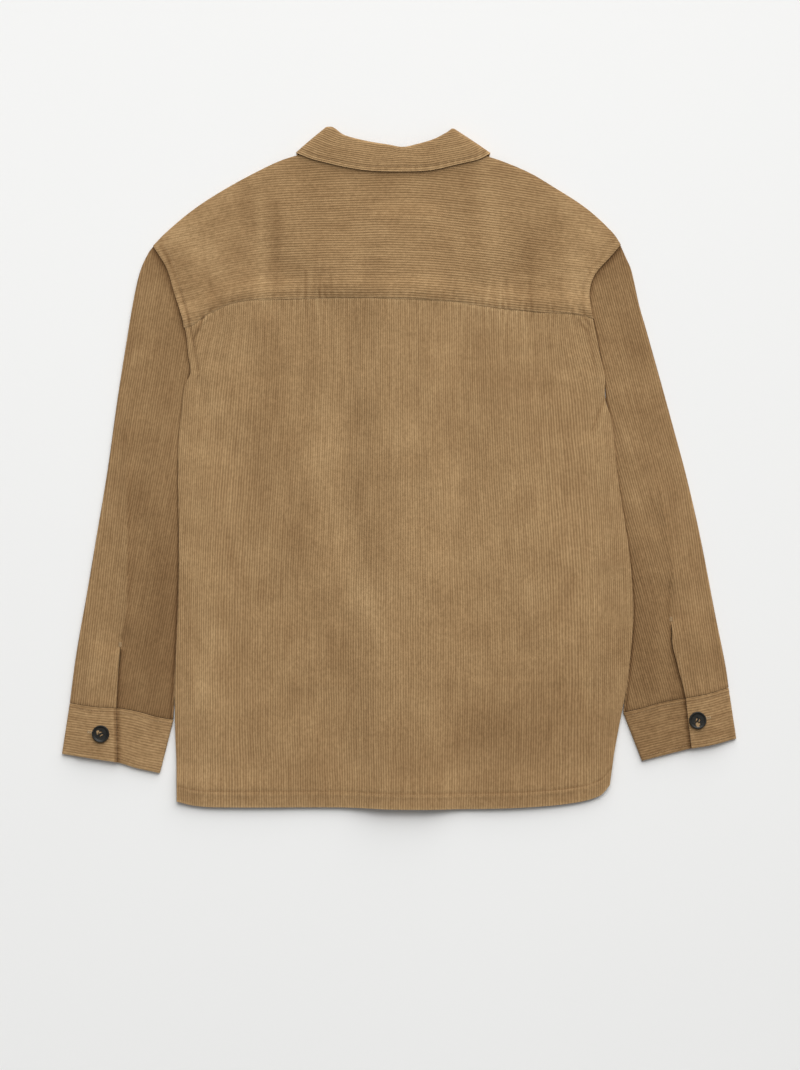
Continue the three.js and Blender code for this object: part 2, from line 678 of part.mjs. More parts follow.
// Collar: stand, roll and leaf in one wall, its sections turning round the neck
function addCollar() {
  const thick = collarCloth;
  const centreZ = 6.5;
  const standOut = 2;
  const rollRadius = (thick + seamGap) / 2;
  const leafOut = standOut + 2 * rollRadius;
  const counts = { stand: 2, roll: 5, leaf: 5 };
  const knots = collarSections.map((_, i) => i);
  const column = (key) => smoothRun(knots, collarSections.map((row) => row[key]));
  const run = Object.fromEntries(Object.keys(collarSections[0]).map((key) => [key, column(key)]));
  const rows = knots;
  const grid = rows.map((at) => {
    const turn = clamp(run.turn(at), -1, 1);
    const sideways = Math.sign(run.side(at)) * Math.sqrt(1 - turn * turn);
    const outward = new THREE.Vector3(sideways, 0, turn);
    const seam = new THREE.Vector3(run.seamX(at), run.seamY(at), 0);
    const roll = new THREE.Vector3(run.rollX(at), run.rollY(at), 0);
    const edge = new THREE.Vector3(run.edgeX(at), run.edgeY(at), 0);
    const rise = roll.clone().sub(seam.clone().add(edge).multiplyScalar(0.5)).normalize();
    const level = (base, out) => base.clone()
      .setX(base.x + (out - leafOut - thick / 2) * sideways)
      .setZ(centreZ + out * turn);
    const centre = level(roll.clone().addScaledVector(rise, -rollRadius - thick / 2), standOut + rollRadius);
    const stations = [];
    const seamAt = level(seam, standOut);
    seamAt.x = seam.x;
    const rollStart = centre.clone().addScaledVector(outward, -rollRadius);
    for (const f of between(0, 1, counts.stand).slice(0, -1)) {
      stations.push({ at: seamAt.clone().lerp(rollStart, f), normal: outward.clone().negate() });
    }
    for (const f of between(0, 1, counts.roll)) {
      const angle = Math.PI * f;
      const normal = outward.clone().multiplyScalar(-Math.cos(angle)).addScaledVector(rise, Math.sin(angle));
      stations.push({ at: centre.clone().addScaledVector(normal, rollRadius), normal });
    }
    const rollEnd = centre.clone().addScaledVector(outward, rollRadius);
    const edgeAt = level(edge, leafOut);
    for (const f of between(0, 1, counts.leaf).slice(1)) {
      stations.push({ at: rollEnd.clone().lerp(edgeAt, f), normal: outward });
    }
    return stations;
  });
  const geometry = wall(grid.length - 1, grid[0].length - 1, (i, j, side) => {
    const { at, normal } = grid[i][j];
    return at.clone().addScaledVector(normal, (side * thick) / 2).toArray();
  });
  return add('collar', geometry, corduroy);
}

// Four-hole button with a raised rim and a dished face, its back on the plane z = 0
function buttonGeometry() {
  const { diameter, thick, rim, dish, hole, holeAt, sides } = button;
  const r = diameter / 2;
  const profile = [
    [0, 0], [r - 1, 0], [r, 0.9], [r - 0.2, thick], [r - rim, thick],
    [r - rim - 1, thick - dish], [0, thick - dish],
  ].map(([x, y]) => new THREE.Vector2(x, y));
  const body = new THREE.LatheGeometry(profile, sides).rotateX(Math.PI / 2);
  let solid = manifoldFrom(body);
  for (let k = 0; k < 4; k += 1) {
    const angle = (Math.PI * (2 * k + 1)) / 4;
    const drill = new THREE.CylinderGeometry(hole / 2, hole / 2, 3 * thick, 6).rotateX(Math.PI / 2);
    drill.translate(holeAt * Math.cos(angle), holeAt * Math.sin(angle), thick / 2);
    solid = solid.subtract(manifoldFrom(drill));
  }
  const { vertProperties, triVerts } = solid.getMesh();
  const geometry = new THREE.BufferGeometry();
  geometry.setAttribute('position', new THREE.BufferAttribute(vertProperties, 3));
  geometry.setIndex(new THREE.BufferAttribute(triVerts, 1));
  geometry.computeVertexNormals();
  return geometry;
}

function manifoldFrom(geometry) {
  const bare = geometry.clone();
  bare.deleteAttribute('normal');
  bare.deleteAttribute('uv');
  const merged = mergeVertices(bare, 1e-4);
  const triVerts = new Uint32Array(merged.index.array);
  const vertProperties = new Float32Array(merged.attributes.position.array);
  return new wasm.Manifold(new wasm.Mesh({ numProp: 3, vertProperties, triVerts }));
}

function addButtons() {
  const shape = buttonGeometry();
  for (const { name, buttonAt } of arms) {
    const cuffButton = add(`cuff_button_${name}`, shape, horn);
    cuffButton.position.set(buttonAt.x, buttonAt.y, cuffFlap + cuffCloth / 2 + seamGap);
  }
  for (let k = 0; k < frontButtons.count; k += 1) {
    const frontButton = add(`front_button_${k + 1}`, shape, horn);
    frontButton.rotation.x = Math.PI;
    frontButton.position.set(closureX, frontButtons.first + k * frontButtons.pitch, button.thick);
  }
}

makeYoke();
makeBack();
makeFront('front_left', -1);
makeFront('front_right', 1);
makeBand();
addCollar();
for (const arm of arms) {
  addSleeve(arm);
  addCuff(arm);
}
addButtons();

// The jacket stands centred over the origin
const box = new THREE.Box3().setFromObject(jacket);
jacket.position.set(-(box.min.x + box.max.x) / 2, -(box.min.y + box.max.y) / 2, 0);

export default jacket;
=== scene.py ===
import math

import bpy
import numpy as np
from mathutils import Matrix, Vector


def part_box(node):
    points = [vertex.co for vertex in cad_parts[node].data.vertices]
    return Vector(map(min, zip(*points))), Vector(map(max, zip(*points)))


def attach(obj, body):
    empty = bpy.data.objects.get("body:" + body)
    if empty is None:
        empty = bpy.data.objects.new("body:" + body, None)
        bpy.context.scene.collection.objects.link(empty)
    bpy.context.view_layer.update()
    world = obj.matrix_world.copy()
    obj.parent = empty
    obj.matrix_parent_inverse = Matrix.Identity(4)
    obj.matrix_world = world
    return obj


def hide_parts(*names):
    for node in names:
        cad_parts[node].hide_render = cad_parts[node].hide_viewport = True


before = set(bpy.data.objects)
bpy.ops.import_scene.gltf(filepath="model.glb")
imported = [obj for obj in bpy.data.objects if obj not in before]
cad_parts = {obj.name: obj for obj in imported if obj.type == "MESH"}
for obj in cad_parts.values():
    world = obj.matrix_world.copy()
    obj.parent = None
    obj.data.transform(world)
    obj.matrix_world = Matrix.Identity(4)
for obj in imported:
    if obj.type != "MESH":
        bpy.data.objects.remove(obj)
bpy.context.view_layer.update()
mm = 0.001
dice = np.random.RandomState(11)
print("frame loaded")

# Cloth and layers, the same sizes as the frame's
cloth = {"thick": 1.6, "seamGap": 0.3, "air": 2.4, "cuffThick": 2.4, "collarThick": 2.6, "wale": 2.7}
half = cloth["thick"] / 2
layer = cloth["thick"] + cloth["seamGap"]
closure = {"x": 6.6, "half": 16, "buttonThick": 3.0, "firstButton": 246, "pitch": -96, "buttons": 6}
placketLeft = closure["x"] - closure["half"]
placketRight = closure["x"] + closure["half"]
leftMid = closure["buttonThick"] + cloth["seamGap"] + half + layer
rightMid = leftMid + layer
hem = {"depth": 17, "fold": 1.6, "stitchIn": 1.2}
collarLift = 3.9
edgeCurl = 12

# Outlines, as points x and y
armholeLeft = [(-270, 246.5), (-256.6, 223.4), (-247.6, 194.2), (-238.4, 165), (-234.9, 148), (-229.9, 123.8),
               (-227.7, 106.2)]
armholeRight = [(242, 248), (229.8, 233.6), (214.1, 214), (208.3, 196), (210.3, 173.5), (213, 164),
                (219.6, 129.9), (224.4, 103.2), (225, 76.9)]
sideLeft = [(-227.7, 106.2), (-232.9, 94.2), (-237.3, 76.2), (-242.4, 21.5), (-241.7, -99.6),
            (-243.3, -166.7), (-247.5, -267.9), (-245.9, -318.5), (-245.3, -365.8)]
sideRight = [(225, 76.9), (231.3, 56.2), (235.3, 27.7), (238.2, -4.7), (246.1, -55.6), (252.2, -99.6),
             (255.8, -150), (254, -190), (246.4, -254.5), (236.3, -310.1), (230.9, -347.7)]
hemEdge = [(-245.3, -365.2), (-227.7, -369.6), (-203.5, -371.6), (-58.3, -372), (1.1, -373.8), (85.3, -373.8),
           (144.1, -371.9), (194.7, -366.8), (221.5, -358.6), (230.9, -347.7)]
yokeSeam = [(-236.8, 155.5), (-228.8, 158), (-214.5, 166.5), (-197, 176.2), (-183.7, 181.6), (-161.7, 185.4),
            (-75.9, 187.6), (1.1, 186.5), (58.3, 183.6), (90.4, 178.4), (149.4, 172.7), (194.3, 169.8),
            (213, 165)]
shoulderLeft = [(-270, 246.5), (-257.4, 260.2), (-225.5, 286.6), (-183.7, 313), (-141.9, 334.2),
                (-118, 343.2), (-95, 347.4)]
shoulderRight = [(80, 346.5), (104, 341.2), (141.9, 326), (165, 313), (205.7, 286.6), (234.3, 260.2),
                 (242, 248)]
backNeck = [(-84, 347.9), (-66, 344.1), (-42, 340.1), (-18, 338.1), (6, 337.9), (26, 340.1), (48, 344.6),
            (68, 348.8)]
leftNeck = [(-85.6, 333), (-61.2, 295.6), (-28.6, 273.9), (3, 267.6), (placketRight, 267.2)]
rightNeck = [(placketLeft, 267.2), (10, 267.6), (34.6, 275.9), (51.2, 296.6), (71.4, 331)]

# Collar sections: turn, side, seam x and y, roll x and y, edge x and y
collarSections = [
    (-1, -1, 3, 268.5, 2, 280, -52, 214), (-1, -1, -28, 275, -24, 295, -80, 246),
    (-1, -1, -60, 297, -50, 322, -102, 290), (-1, -1, -84, 334, -72, 357, -111, 328),
    (-0.75, -1, -91, 347, -80, 372, -113.6, 343), (0, -1, -92.5, 350, -81.5, 375.3, -114.5, 346.5),
    (0.75, -1, -91, 350.3, -79.5, 375.8, -113.3, 346.6), (1, -1, -84, 348.8, -72, 374.7, -106, 343.9),
    (1, -1, -66, 345, -60, 366.6, -92, 339.1), (1, -1, -42, 341, -36, 360.3, -61, 331.8),
    (1, -1, -18, 339, -11, 356.1, -31.5, 327.4), (1, 1, 6, 338.8, 3.5, 353.9, 5.3, 326.6),
    (1, 1, 26, 341, 18, 356.8, 34.8, 328.1), (1, 1, 48, 345.5, 36.3, 362, 64.2, 334.7),
    (1, 1, 68, 350, 52, 370, 86.4, 339.9), (0.75, 1, 76, 352, 58.5, 373.6, 98.6, 345.6),
    (0, 1, 77.5, 351.5, 60, 373, 100.2, 346), (-0.75, 1, 76, 348.5, 58, 371, 99.3, 342.8),
    (-1, 1, 70, 332, 54, 354, 97, 326), (-1, 1, 50, 298, 40, 321, 92, 288),
    (-1, 1, 34, 277, 30, 296, 84, 246), (-1, 1, 10, 268.5, 11, 280, 66, 214),
]

# Folds: x and y of both ends, height, width
backFolds = [(225, 76, 211, 40, -1.1, 9), (-217, 90, -210, 58, -0.8, 8), (-152, 150, -138, -70, 0.7, 26),
             (-88, 120, -76, -250, -0.5, 28), (118, 130, 132, -120, 0.6, 30), (182, 30, 196, -230, -0.5, 24),
             (-196, -40, -204, -300, 0.5, 20)]
backCreases = [
    (-211, 168, -221, 156, 0.9, 2.2), (-221, 156, -224.5, 138, 0.7, 2.4), (-216, 160, -219, 140, -0.6, 2.6),
    (225, 76, 217.5, 58, -0.9, 2.0), (217.5, 58, 212, 43, -0.7, 2.2), (222, 66, 214, 40, 0.6, 3.4),
    (214, 52, 206, 30, 0.35, 3.0), (219, 40, 210, 18, -0.3, 3.2), (203, 158, 194, 128, 0.5, 4.0),
    (196, 160, 189, 132, -0.4, 3.0), (-9, 170, -10, -10, 0.22, 2.4), (23, 172, 23, -10, 0.22, 2.4),
    (-120, -237, 90, -236, 0.16, 2.0), (98, -237, 210, -232, 0.2, 2.4), (-230, -122, -229, -255, 0.3, 2.4),
    (194, 142, 196, 54, 0.2, 2.6), (-196, 120, -205, -20, -0.25, 8), (-170, 60, -176, -120, 0.25, 9),
    (60, 150, 66, 40, -0.25, 8), (150, 120, 160, -30, -0.2, 8), (-20, -60, 4, -300, 0.25, 14),
    (-130, -180, -96, -330, 0.3, 12), (70, -120, 96, -320, -0.3, 12), (-210, -270, -176, -352, 0.35, 8),
    (200, -240, 168, -340, 0.3, 9), (-60, 60, -30, -60, 0.2, 12),
]
yokeCreases = [
    (-206, 300, -196, 214, 0.35, 12), (-176, 296, -170, 226, -0.4, 9), (-150, 322, -156, 262, 0.3, 9),
    (-232, 236, -214, 176, 0.4, 7), (-92, 250, -88, 196, -0.3, 10), (120, 316, 138, 236, 0.3, 12),
    (176, 280, 184, 216, -0.35, 10), (204, 254, 206, 196, 0.4, 7), (40, 250, 36, 196, -0.25, 9),
    (192, 174, 180, 196, 0.7, 2.4), (202, 168, 190, 184, -0.5, 2.4), (206, 176, 196, 196, 0.5, 2.6),
    (-110, 330, -60, 322, 0.3, 5), (70, 330, 104, 334, 0.25, 5), (-206, 176, -214, 196, 0.5, 3.4),
    (88, 188, 92, 216, -0.4, 5), (-12, 222, -12, 190, 0.2, 2.6), (25, 222, 25, 188, 0.2, 2.6),
]
leftFolds = [(-300, 30, -302, -172, 1.3, 10), (-284, 20, -284, -150, -0.7, 10),
             (-252, 150, -262, 96, -0.5, 12), (-322, 10, -338, -110, 0.5, 12)]
rightFolds = [(288, -28, 304, -120, 1.3, 10), (278, 40, 286, -60, -0.6, 12), (296, -136, 300, -168, -0.7, 9),
              (236, 160, 246, 104, -0.5, 12)]
leftCreases = [
    (-298.6, 34, -299.6, -166, 0.6, 3.4), (-294, 20, -294.5, -150, -0.5, 4.4),
    (-262, 186, -276, 60, -0.35, 8), (-286, 150, -296, 60, 0.3, 9), (-318, -40, -332, -150, 0.35, 8),
    (-262, -60, -270, -200, -0.35, 8), (-272, -150, -282, -240, 0.35, 6), (-334, -170, -344, -238, -0.3, 7),
    (-322, -196, -327, -252, 0.35, 4),
]
rightCreases = [
    (288.0, -28.2, 304.0, -119.6, 0.6, 3.4), (294, -40, 310, -130, -0.4, 4),
    (297, -136, 300, -160, -0.6, 2.6), (250, 190, 262, 90, -0.35, 8), (272, 60, 284, -40, 0.3, 8),
    (266, -60, 274, -180, -0.35, 8), (322, -120, 334, -220, 0.35, 8), (276, -190, 284, -250, 0.35, 5),
    (330, -196, 338, -236, -0.3, 5), (322, -222, 331, -246, 0.5, 3), (312, -226, 318, -246, 0.45, 2.4),
    (326, -214, 322, -246, -0.4, 3), (304, -176, 309, -220, 0.5, 3),
]

# Sleeves and cuffs
outerLeft = [(-276.1, 239.3), (-284.9, 220.6), (-291.5, 194.2), (-300.6, 141.4), (-311, 75.4), (-322.2, -3.9),
             (-333.3, -69.9), (-344.4, -135.9), (-356, -201.9)]
outerRight = [(248.8, 233.8), (254.6, 220.6), (263.6, 181), (271.2, 154.6), (289.7, 88.6), (300.5, 49),
              (314.8, -3.9), (330.1, -69.9), (348, -162.3), (358.6, -215.1)]
cuffSeamLeft = [(-249.2, -276.2), (-267.7, -272.8), (-288.8, -267), (-310.6, -263.2), (-333.3, -262),
                (-363.4, -257.8)]
cuffEdgeLeft = [(-264, -334.6), (-290, -329), (-309, -323.2), (-330, -319.8), (-372, -313.4)]
cuffSeamRight = [(245.9, -268.1), (265.9, -263.5), (288.8, -256.8), (315.2, -252), (338.8, -247.5),
                 (362.2, -240.7)]
cuffEdgeRight = [(266.5, -321.1), (290, -315), (320, -307.6), (338.8, -304.6), (370.6, -296.6)]
# Down the slit: how far, the lap of its inner side and the lift of its outer side
slitRows = [(0, 0, 0), (0.22, -1.6, 2.1), (0.5, 3, 2.5), (1, 20, 2.7)]
# What differs between the sleeves. Places down and across run from 0 to 1. The leans and "finer" set the wales.
# The flap's painted shade is its depth, its width and how far it goes onto the flap. The button's pale patch is
# x, y and its half sizes. The tones set how light each part is drawn: on the sleeve, the top and the two sides
# of the crease differ by painted light and shade.
arms = [
    {"name": "left", "sign": -1, "armhole": armholeLeft, "side": sideLeft, "outer": outerLeft,
     "seam": cuffSeamLeft, "edge": cuffEdgeLeft, "folds": leftFolds, "creases": leftCreases,
     "slitFrom": 0.855, "slitAt": 0.585, "slitEnd": 0.553, "foot": 0.44, "button": (-328.6, -291.1),
     "lean": 0.195, "outerLean": 0.12, "upperLean": 0.165, "finer": 1.05, "creaseTop": 40,
     "creaseLine": [(-298.6, 40), (-299.6, -150)], "slitBend": 0.0, "darkFrom": 60,
     "tones": {"top": 0.86, "inner": 0.72, "outer": 0.91, "cuff": 1.05, "flap": 1.035},
     "flapShade": (0.5, 4.2, 2.4), "buttonTurn": 0.5, "palePatch": (-331.6, -289.0, 1.7, 2.6)},
    {"name": "right", "sign": 1, "armhole": armholeRight, "side": sideRight, "outer": outerRight,
     "seam": cuffSeamRight, "edge": cuffEdgeRight, "folds": rightFolds, "creases": rightCreases,
     "slitFrom": 0.805, "slitAt": 0.495, "slitEnd": 0.59, "foot": 0.525, "button": (327.4, -276.2),
     "lean": -0.27, "outerLean": -0.15, "upperLean": -0.27, "finer": 1.04, "creaseTop": -20,
     "creaseLine": [(287, -20), (292.2, -57.8), (297.8, -86.4), (301.5, -112), (298.5, -134)],
     "slitBend": 0.05, "darkFrom": -10,
     "tones": {"top": 0.885, "inner": 0.74, "outer": 0.86, "cuff": 0.80, "flap": 0.96},
     "flapShade": (0.42, 3.4, 0.0), "buttonTurn": 1.15, "palePatch": (327.6, -280.4, 2.6, 2.8)},
]


# Curves and blends
def fall(distance, span):  # 1 up to nought, then smoothly down to 0 over the span
    part = np.clip(np.asarray(distance, float) / span, 0, 1)
    return 1 - part * part * (3 - 2 * part)


def mix(start, end, part):
    return start + (end - start) * part


def smoothRun(knots, values):
    knots, values = np.asarray(knots, float), np.asarray(values, float)
    last = len(knots) - 1
    low = np.maximum(np.arange(last + 1) - 1, 0)
    high = np.minimum(np.arange(last + 1) + 1, last)
    slopes = (values[high] - values[low]) / (knots[high] - knots[low])

    def run(at):
        at = np.asarray(at, float)
        i = np.clip(np.searchsorted(knots, at), 1, last)
        step = knots[i] - knots[i - 1]
        f = (at - knots[i - 1]) / step
        rise = f * f * (3 - 2 * f)
        leave = f * (1 - f) ** 2 * step * slopes[i - 1]
        arrive = f * f * (f - 1) * step * slopes[i]
        return mix(values[i - 1], values[i], rise) + leave + arrive

    return run


def edgeOver(rows):
    return smoothRun([row[0] for row in rows], [row[1] for row in rows])


def curve(rows):
    points = np.array(rows, float)
    knots = np.concatenate([[0], np.cumsum(np.hypot(*np.diff(points, axis=0).T))])
    x, y = smoothRun(knots, points[:, 0]), smoothRun(knots, points[:, 1])
    return lambda t: np.stack([x(np.asarray(t) * knots[-1]), y(np.asarray(t) * knots[-1])], -1)


def spanOf(edge, start, end):
    return lambda t: np.stack([mix(start, end, np.asarray(t)), edge(mix(start, end, np.asarray(t)))], -1)


def patch(left, right, top, bottom):
    def place(u, v):
        u, v = np.broadcast_arrays(np.asarray(u, float), np.asarray(v, float))
        uu, vv = u[..., None], v[..., None]
        ends = mix(mix(top(0.0), top(1.0), uu), mix(bottom(0.0), bottom(1.0), uu), vv)
        return mix(left(v), right(v), uu) + mix(top(u), bottom(u), vv) - ends

    return place


def bell(distance, width):
    return np.exp(-((distance / width) ** 2))


def softLines(rows, x, y, reach):  # each fades at both ends over the reach that its width gives
    total = np.zeros(np.broadcast(x, y).shape)
    for x1, y1, x2, y2, height, width in rows:
        length = math.hypot(x2 - x1, y2 - y1)
        along = ((x - x1) * (x2 - x1) + (y - y1) * (y2 - y1)) / length
        across = ((x - x1) * (y2 - y1) - (y - y1) * (x2 - x1)) / length
        ends = fall(-along, reach(width)) * fall(along - length, reach(width))
        total += height * ends * bell(across, width)
    return total


def folds(rows, x, y):
    return softLines(rows, x, y, lambda width: 2 * width + 8)


def broadFolds(rows, x, y):  # the folds that the frame has too
    return softLines(rows, x, y, lambda width: 2 * width)


def streaks(rows, x, y, strength=1.4):
    lines = [(*ends, strength * amount, width) for *ends, width, amount in rows]
    return softLines(lines, x, y, lambda width: min(2.2 * width + 10, 4 * width))


def unevenness(seed, longest, height):  # the gentle lie of cloth, from a few crossing waves
    draw = np.random.RandomState(seed)
    waves = [(draw.uniform(0, 2 * math.pi), draw.uniform(0.45, 1) * longest, draw.uniform(0, 2 * math.pi))
             for _ in range(9)]

    def lie(x, y):
        total = 0
        for angle, length, phase in waves:
            run = (x * math.cos(angle) + y * math.sin(angle)) * 2 * math.pi / length
            total = total + np.sin(run + phase) * length / longest
        return total * height / 3

    return lie


backLie = unevenness(3, 150, 0.5)
middleLie = unevenness(5, 34, 0.15)
fineLie = unevenness(7, 15, 0.06)


def smallLie(x, y):
    return middleLie(x, y) + fineLie(x, y)


# Heights of the cloth's middle on the body
def together(*lifts):
    return sum(np.asarray(lift, float) ** 8 for lift in lifts) ** 0.125


def underCollar(x, y):
    return fall(np.hypot(x / 126, (y - 308) / 104) - 1, 0.4)


def frontLeftHeight(x, y):
    return half + together((leftMid - half) * fall(placketLeft - 3 - x, 43), collarLift * underCollar(x, y))


def frontRightHeight(x, y):
    return half + together((rightMid - half) * fall(x - placketRight - 2, 46), collarLift * underCollar(x, y))


def backHeight(x, y):
    across = fall(placketLeft - 5 - x, 50) * fall(x - placketRight - 5, 46)
    lift = together((rightMid - half) * across * fall(y - 272, 44), collarLift * underCollar(x, y))
    return half + lift + cloth["thick"] + cloth["air"] + broadFolds(backFolds, x, y)


def frontHeight(x, y):
    return np.where(x < closure["x"], frontLeftHeight(x, y), frontRightHeight(x, y))


def curl(distance):
    return np.clip(1 - distance / edgeCurl, 0, 1) ** 2


def meeting(x, y, side):
    return (backHeight(x, y) + frontHeight(x, y)) / 2 + side * (layer / 2 + 0.1)


hemOver = edgeOver(hemEdge)
seamOver = edgeOver(yokeSeam)
yokeTop = edgeOver(shoulderLeft + backNeck + shoulderRight)


def fromHem(x, y):
    return y - hemOver(x)


def aboveHem(x, y):  # from the line where the turned hem is sewn down
    return fromHem(x, y) - hem["depth"]


def onShoulder(x):
    return np.clip(np.maximum(-100 - x, x - 86) / 14, 0, 1)


# Where the nap lies lighter or darker, partly its own rubbed tone and partly painted sheen and painted shade:
# x and y of both ends of a soft streak, half its width, and how much
napStreaks = [
    (-84, 140, -72, 40, 15, 0.04), (-84, 20, -40, -150, 17, 0.07), (-36, -150, 4, -250, 17, 0.09),
    (24, -250, 56, -335, 14, 0.03), (0, -260, 4, -330, 14, -0.05), (-98, 150, -98, 60, 12, -0.05),
    (-138, 120, -108, -90, 16, -0.05), (-112, -90, -62, -230, 18, -0.06), (-214, 110, -222, -250, 18, 0.045),
    (-210, -200, -212, -350, 16, 0.07), (-154, 150, -160, -40, 17, -0.06), (-52, 150, -44, -60, 10, -0.03),
    (-12, 140, -8, 40, 14, 0.035), (70, 110, 120, 92, 12, -0.05), (150, -250, 60, -300, 34, -0.07),
    (120, -340, 180, -300, 30, -0.06), (222, 60, 224, -10, 9, 0.05), (196, 150, 222, 90, 8, 0.05),
    (160, 0, 150, -120, 26, 0.03), (30, 20, 60, -120, 28, 0.01), (0, -20, 6, -130, 14, -0.03),
    (228, -150, 236, -260, 12, -0.04), (-60, -240, -56, -340, 16, 0.03), (-170, -250, -130, -340, 16, -0.03),
    (-153, 290, -151, 190, 7, 0.09), (-134, 280, -134, 190, 6, -0.07), (-172, 320, -178, 240, 9, -0.03),
    (62, 300, 66, 180, 9, 0.05), (96, 320, 112, 178, 13, 0.06), (144, 246, 146, 186, 12, -0.07),
    (-232, 250, -206, 226, 13, 0.07), (-250, 250, -200, 290, 8, 0.05), (180, 290, 220, 250, 10, 0.07),
    (196, 230, 190, 180, 10, 0.05), (-90, 300, -84, 196, 10, -0.03), (-46, 256, -50, 196, 9, 0.03),
    (190, 250, 205, 200, 16, 0.06), (-134, 120, -150, -60, 12, -0.03), (84, -280, 180, -300, 26, -0.02),
    (-108, 330, 96, 326, 8, -0.05), (10, 250, 16, 196, 12, 0.015), (-200, 214, -204, 180, 9, -0.02),
]
# The same streaks on the sleeves: partly the nap's own tone, partly painted sheen and painted shade
sleeveStreaks = [
    (-252, 150, -284, -40, 11, -0.05), (-262, -90, -268, -255, 12, -0.04), (-318, 0, -344, -150, 10, 0.03),
    (-276, 190, -296, 60, 8, 0.05), (-272, 40, -286, -120, 8, 0.03), (-330, -190, -344, -240, 8, 0.05),
    (290, 120, 316, -30, 9, 0.04), (262, 130, 280, 10, 10, -0.02), (250, 40, 268, -60, 8, 0.04),
    (262, -60, 272, -240, 9, -0.04), (286, -150, 294, -240, 5, 0.05), (318, -60, 340, -230, 14, 0.03),
    (238, 200, 262, 140, 9, -0.04), (250, 236, 262, 180, 8, -0.04), (-286, 100, -300, 40, 7, -0.05),
]
# Painted shade and painted highlight along creases and pressed edges, in the same columns
creaseShades = [
    (-216.5, 166, -224.5, 146, 1.4, -0.46), (-213, 167.5, -220.5, 149, 2.6, 0.17),
    (-205, 177.5, -216, 167, 1.2, -0.18), (-199, 181, -196, 190, 1.6, -0.08),
    (225, 76, 212.3, 43.5, 1.2, -0.24), (228, 68, 216, 36, 2.6, 0.09), (219, 48, 209, 28, 1.4, -0.10),
    (198, 163, 206, 153, 1.3, -0.3), (203, 168, 210, 158, 1.3, -0.26), (200.5, 166, 208, 156, 1.6, 0.16),
    (192, 168, 196, 156, 1.4, -0.14), (180, 168, 184, 150, 1.6, -0.10), (199, 137, 201, 76, 1.6, 0.06),
    (-10, 170, -10, -10, 1.6, -0.04), (23, 172, 23, -10, 1.6, -0.035), (-230, -122, -229, -255, 1.6, -0.06),
    (194.5, 142, 196, 54, 1.6, 0.05), (-203, 118, -207, 20, 2.4, 0.04), (-160, 178, -158, 150, 1.8, -0.08),
    (-99, 178, -98, 110, 3.0, -0.05), (-103, 216, -103, 190, 1.6, -0.12), (-88, 214, -89, 190, 1.4, -0.12),
    (-96, 216, -96, 190, 1.8, 0.08), (-76, 210, -75, 190, 1.4, -0.08), (62, 206, 60, 186, 1.5, -0.08),
    (118, 206, 116, 178, 1.6, -0.09), (150, 204, 152, 176, 1.6, 0.07), (-186, 300, -178, 262, 5.0, 0.06),
    (-168, 312, -160, 270, 4.0, -0.05), (-224, 262, -212, 244, 4.0, 0.06), (-206, 246, -196, 216, 5.0, 0.05),
    (-214, 226, -206, 196, 3.0, -0.06),
]


# Puckers that the stitching draws up beside a seam: along it, slant, width, reach and height
def puckerRow(start, end, strength):
    rows, at = [], start
    while at < end:
        force = strength(at) * dice.uniform(0.5, 1.2)
        rows.append((at, dice.uniform(-0.2, 0.2), dice.uniform(1.4, 2.6), dice.uniform(7, 22), force))
        at += dice.uniform(4.5, 10)
    return rows


def puckers(rows, along, away):
    total = np.zeros(np.broadcast(along, away).shape)
    for at, slant, width, reach, height in rows:
        total += height * np.exp(-(((along - at - slant * away) / width) ** 2) - np.abs(away) / reach)
    return total


def puckerShade(rows, along, away):  # the lit and the shaded side of each pucker
    return puckers(rows, along + 1.0, away) - puckers(rows, along - 1.0, away)


def yokePull(x):
    return 0.26 + 0.6 * bell(x + 92, 22) + 0.5 * bell(x - 112, 62)


yokePuckers = puckerRow(-225, 208, yokePull)
hemPuckers = puckerRow(-236, 222, lambda x: 0.14)


# Cloth pieces: a grid shaped by its own rule, given thickness, soft edges and its wales
def deselectAll():
    if bpy.context.object and bpy.context.object.mode != "OBJECT":
        bpy.ops.object.mode_set(mode="OBJECT")
    bpy.ops.object.select_all(action="DESELECT")


def useModifier(piece, kind, **settings):
    deselectAll()
    piece.select_set(True)
    bpy.context.view_layer.objects.active = piece
    bpy.ops.object.modifier_add(type=kind)
    made = piece.modifiers[-1]
    for key, value in settings.items():
        setattr(made, key, value)
    bpy.ops.object.modifier_apply(modifier=made.name)


def soften(piece, width, segments, degrees):
    useModifier(piece, "BEVEL", width=width, segments=segments, limit_method="ANGLE",
                angle_limit=math.radians(degrees))


def pointValues(mesh, name, values):
    made = mesh.attributes.new(name, "FLOAT", "POINT")
    made.data.foreach_set("value", np.broadcast_to(np.asarray(values, float), len(mesh.vertices)))


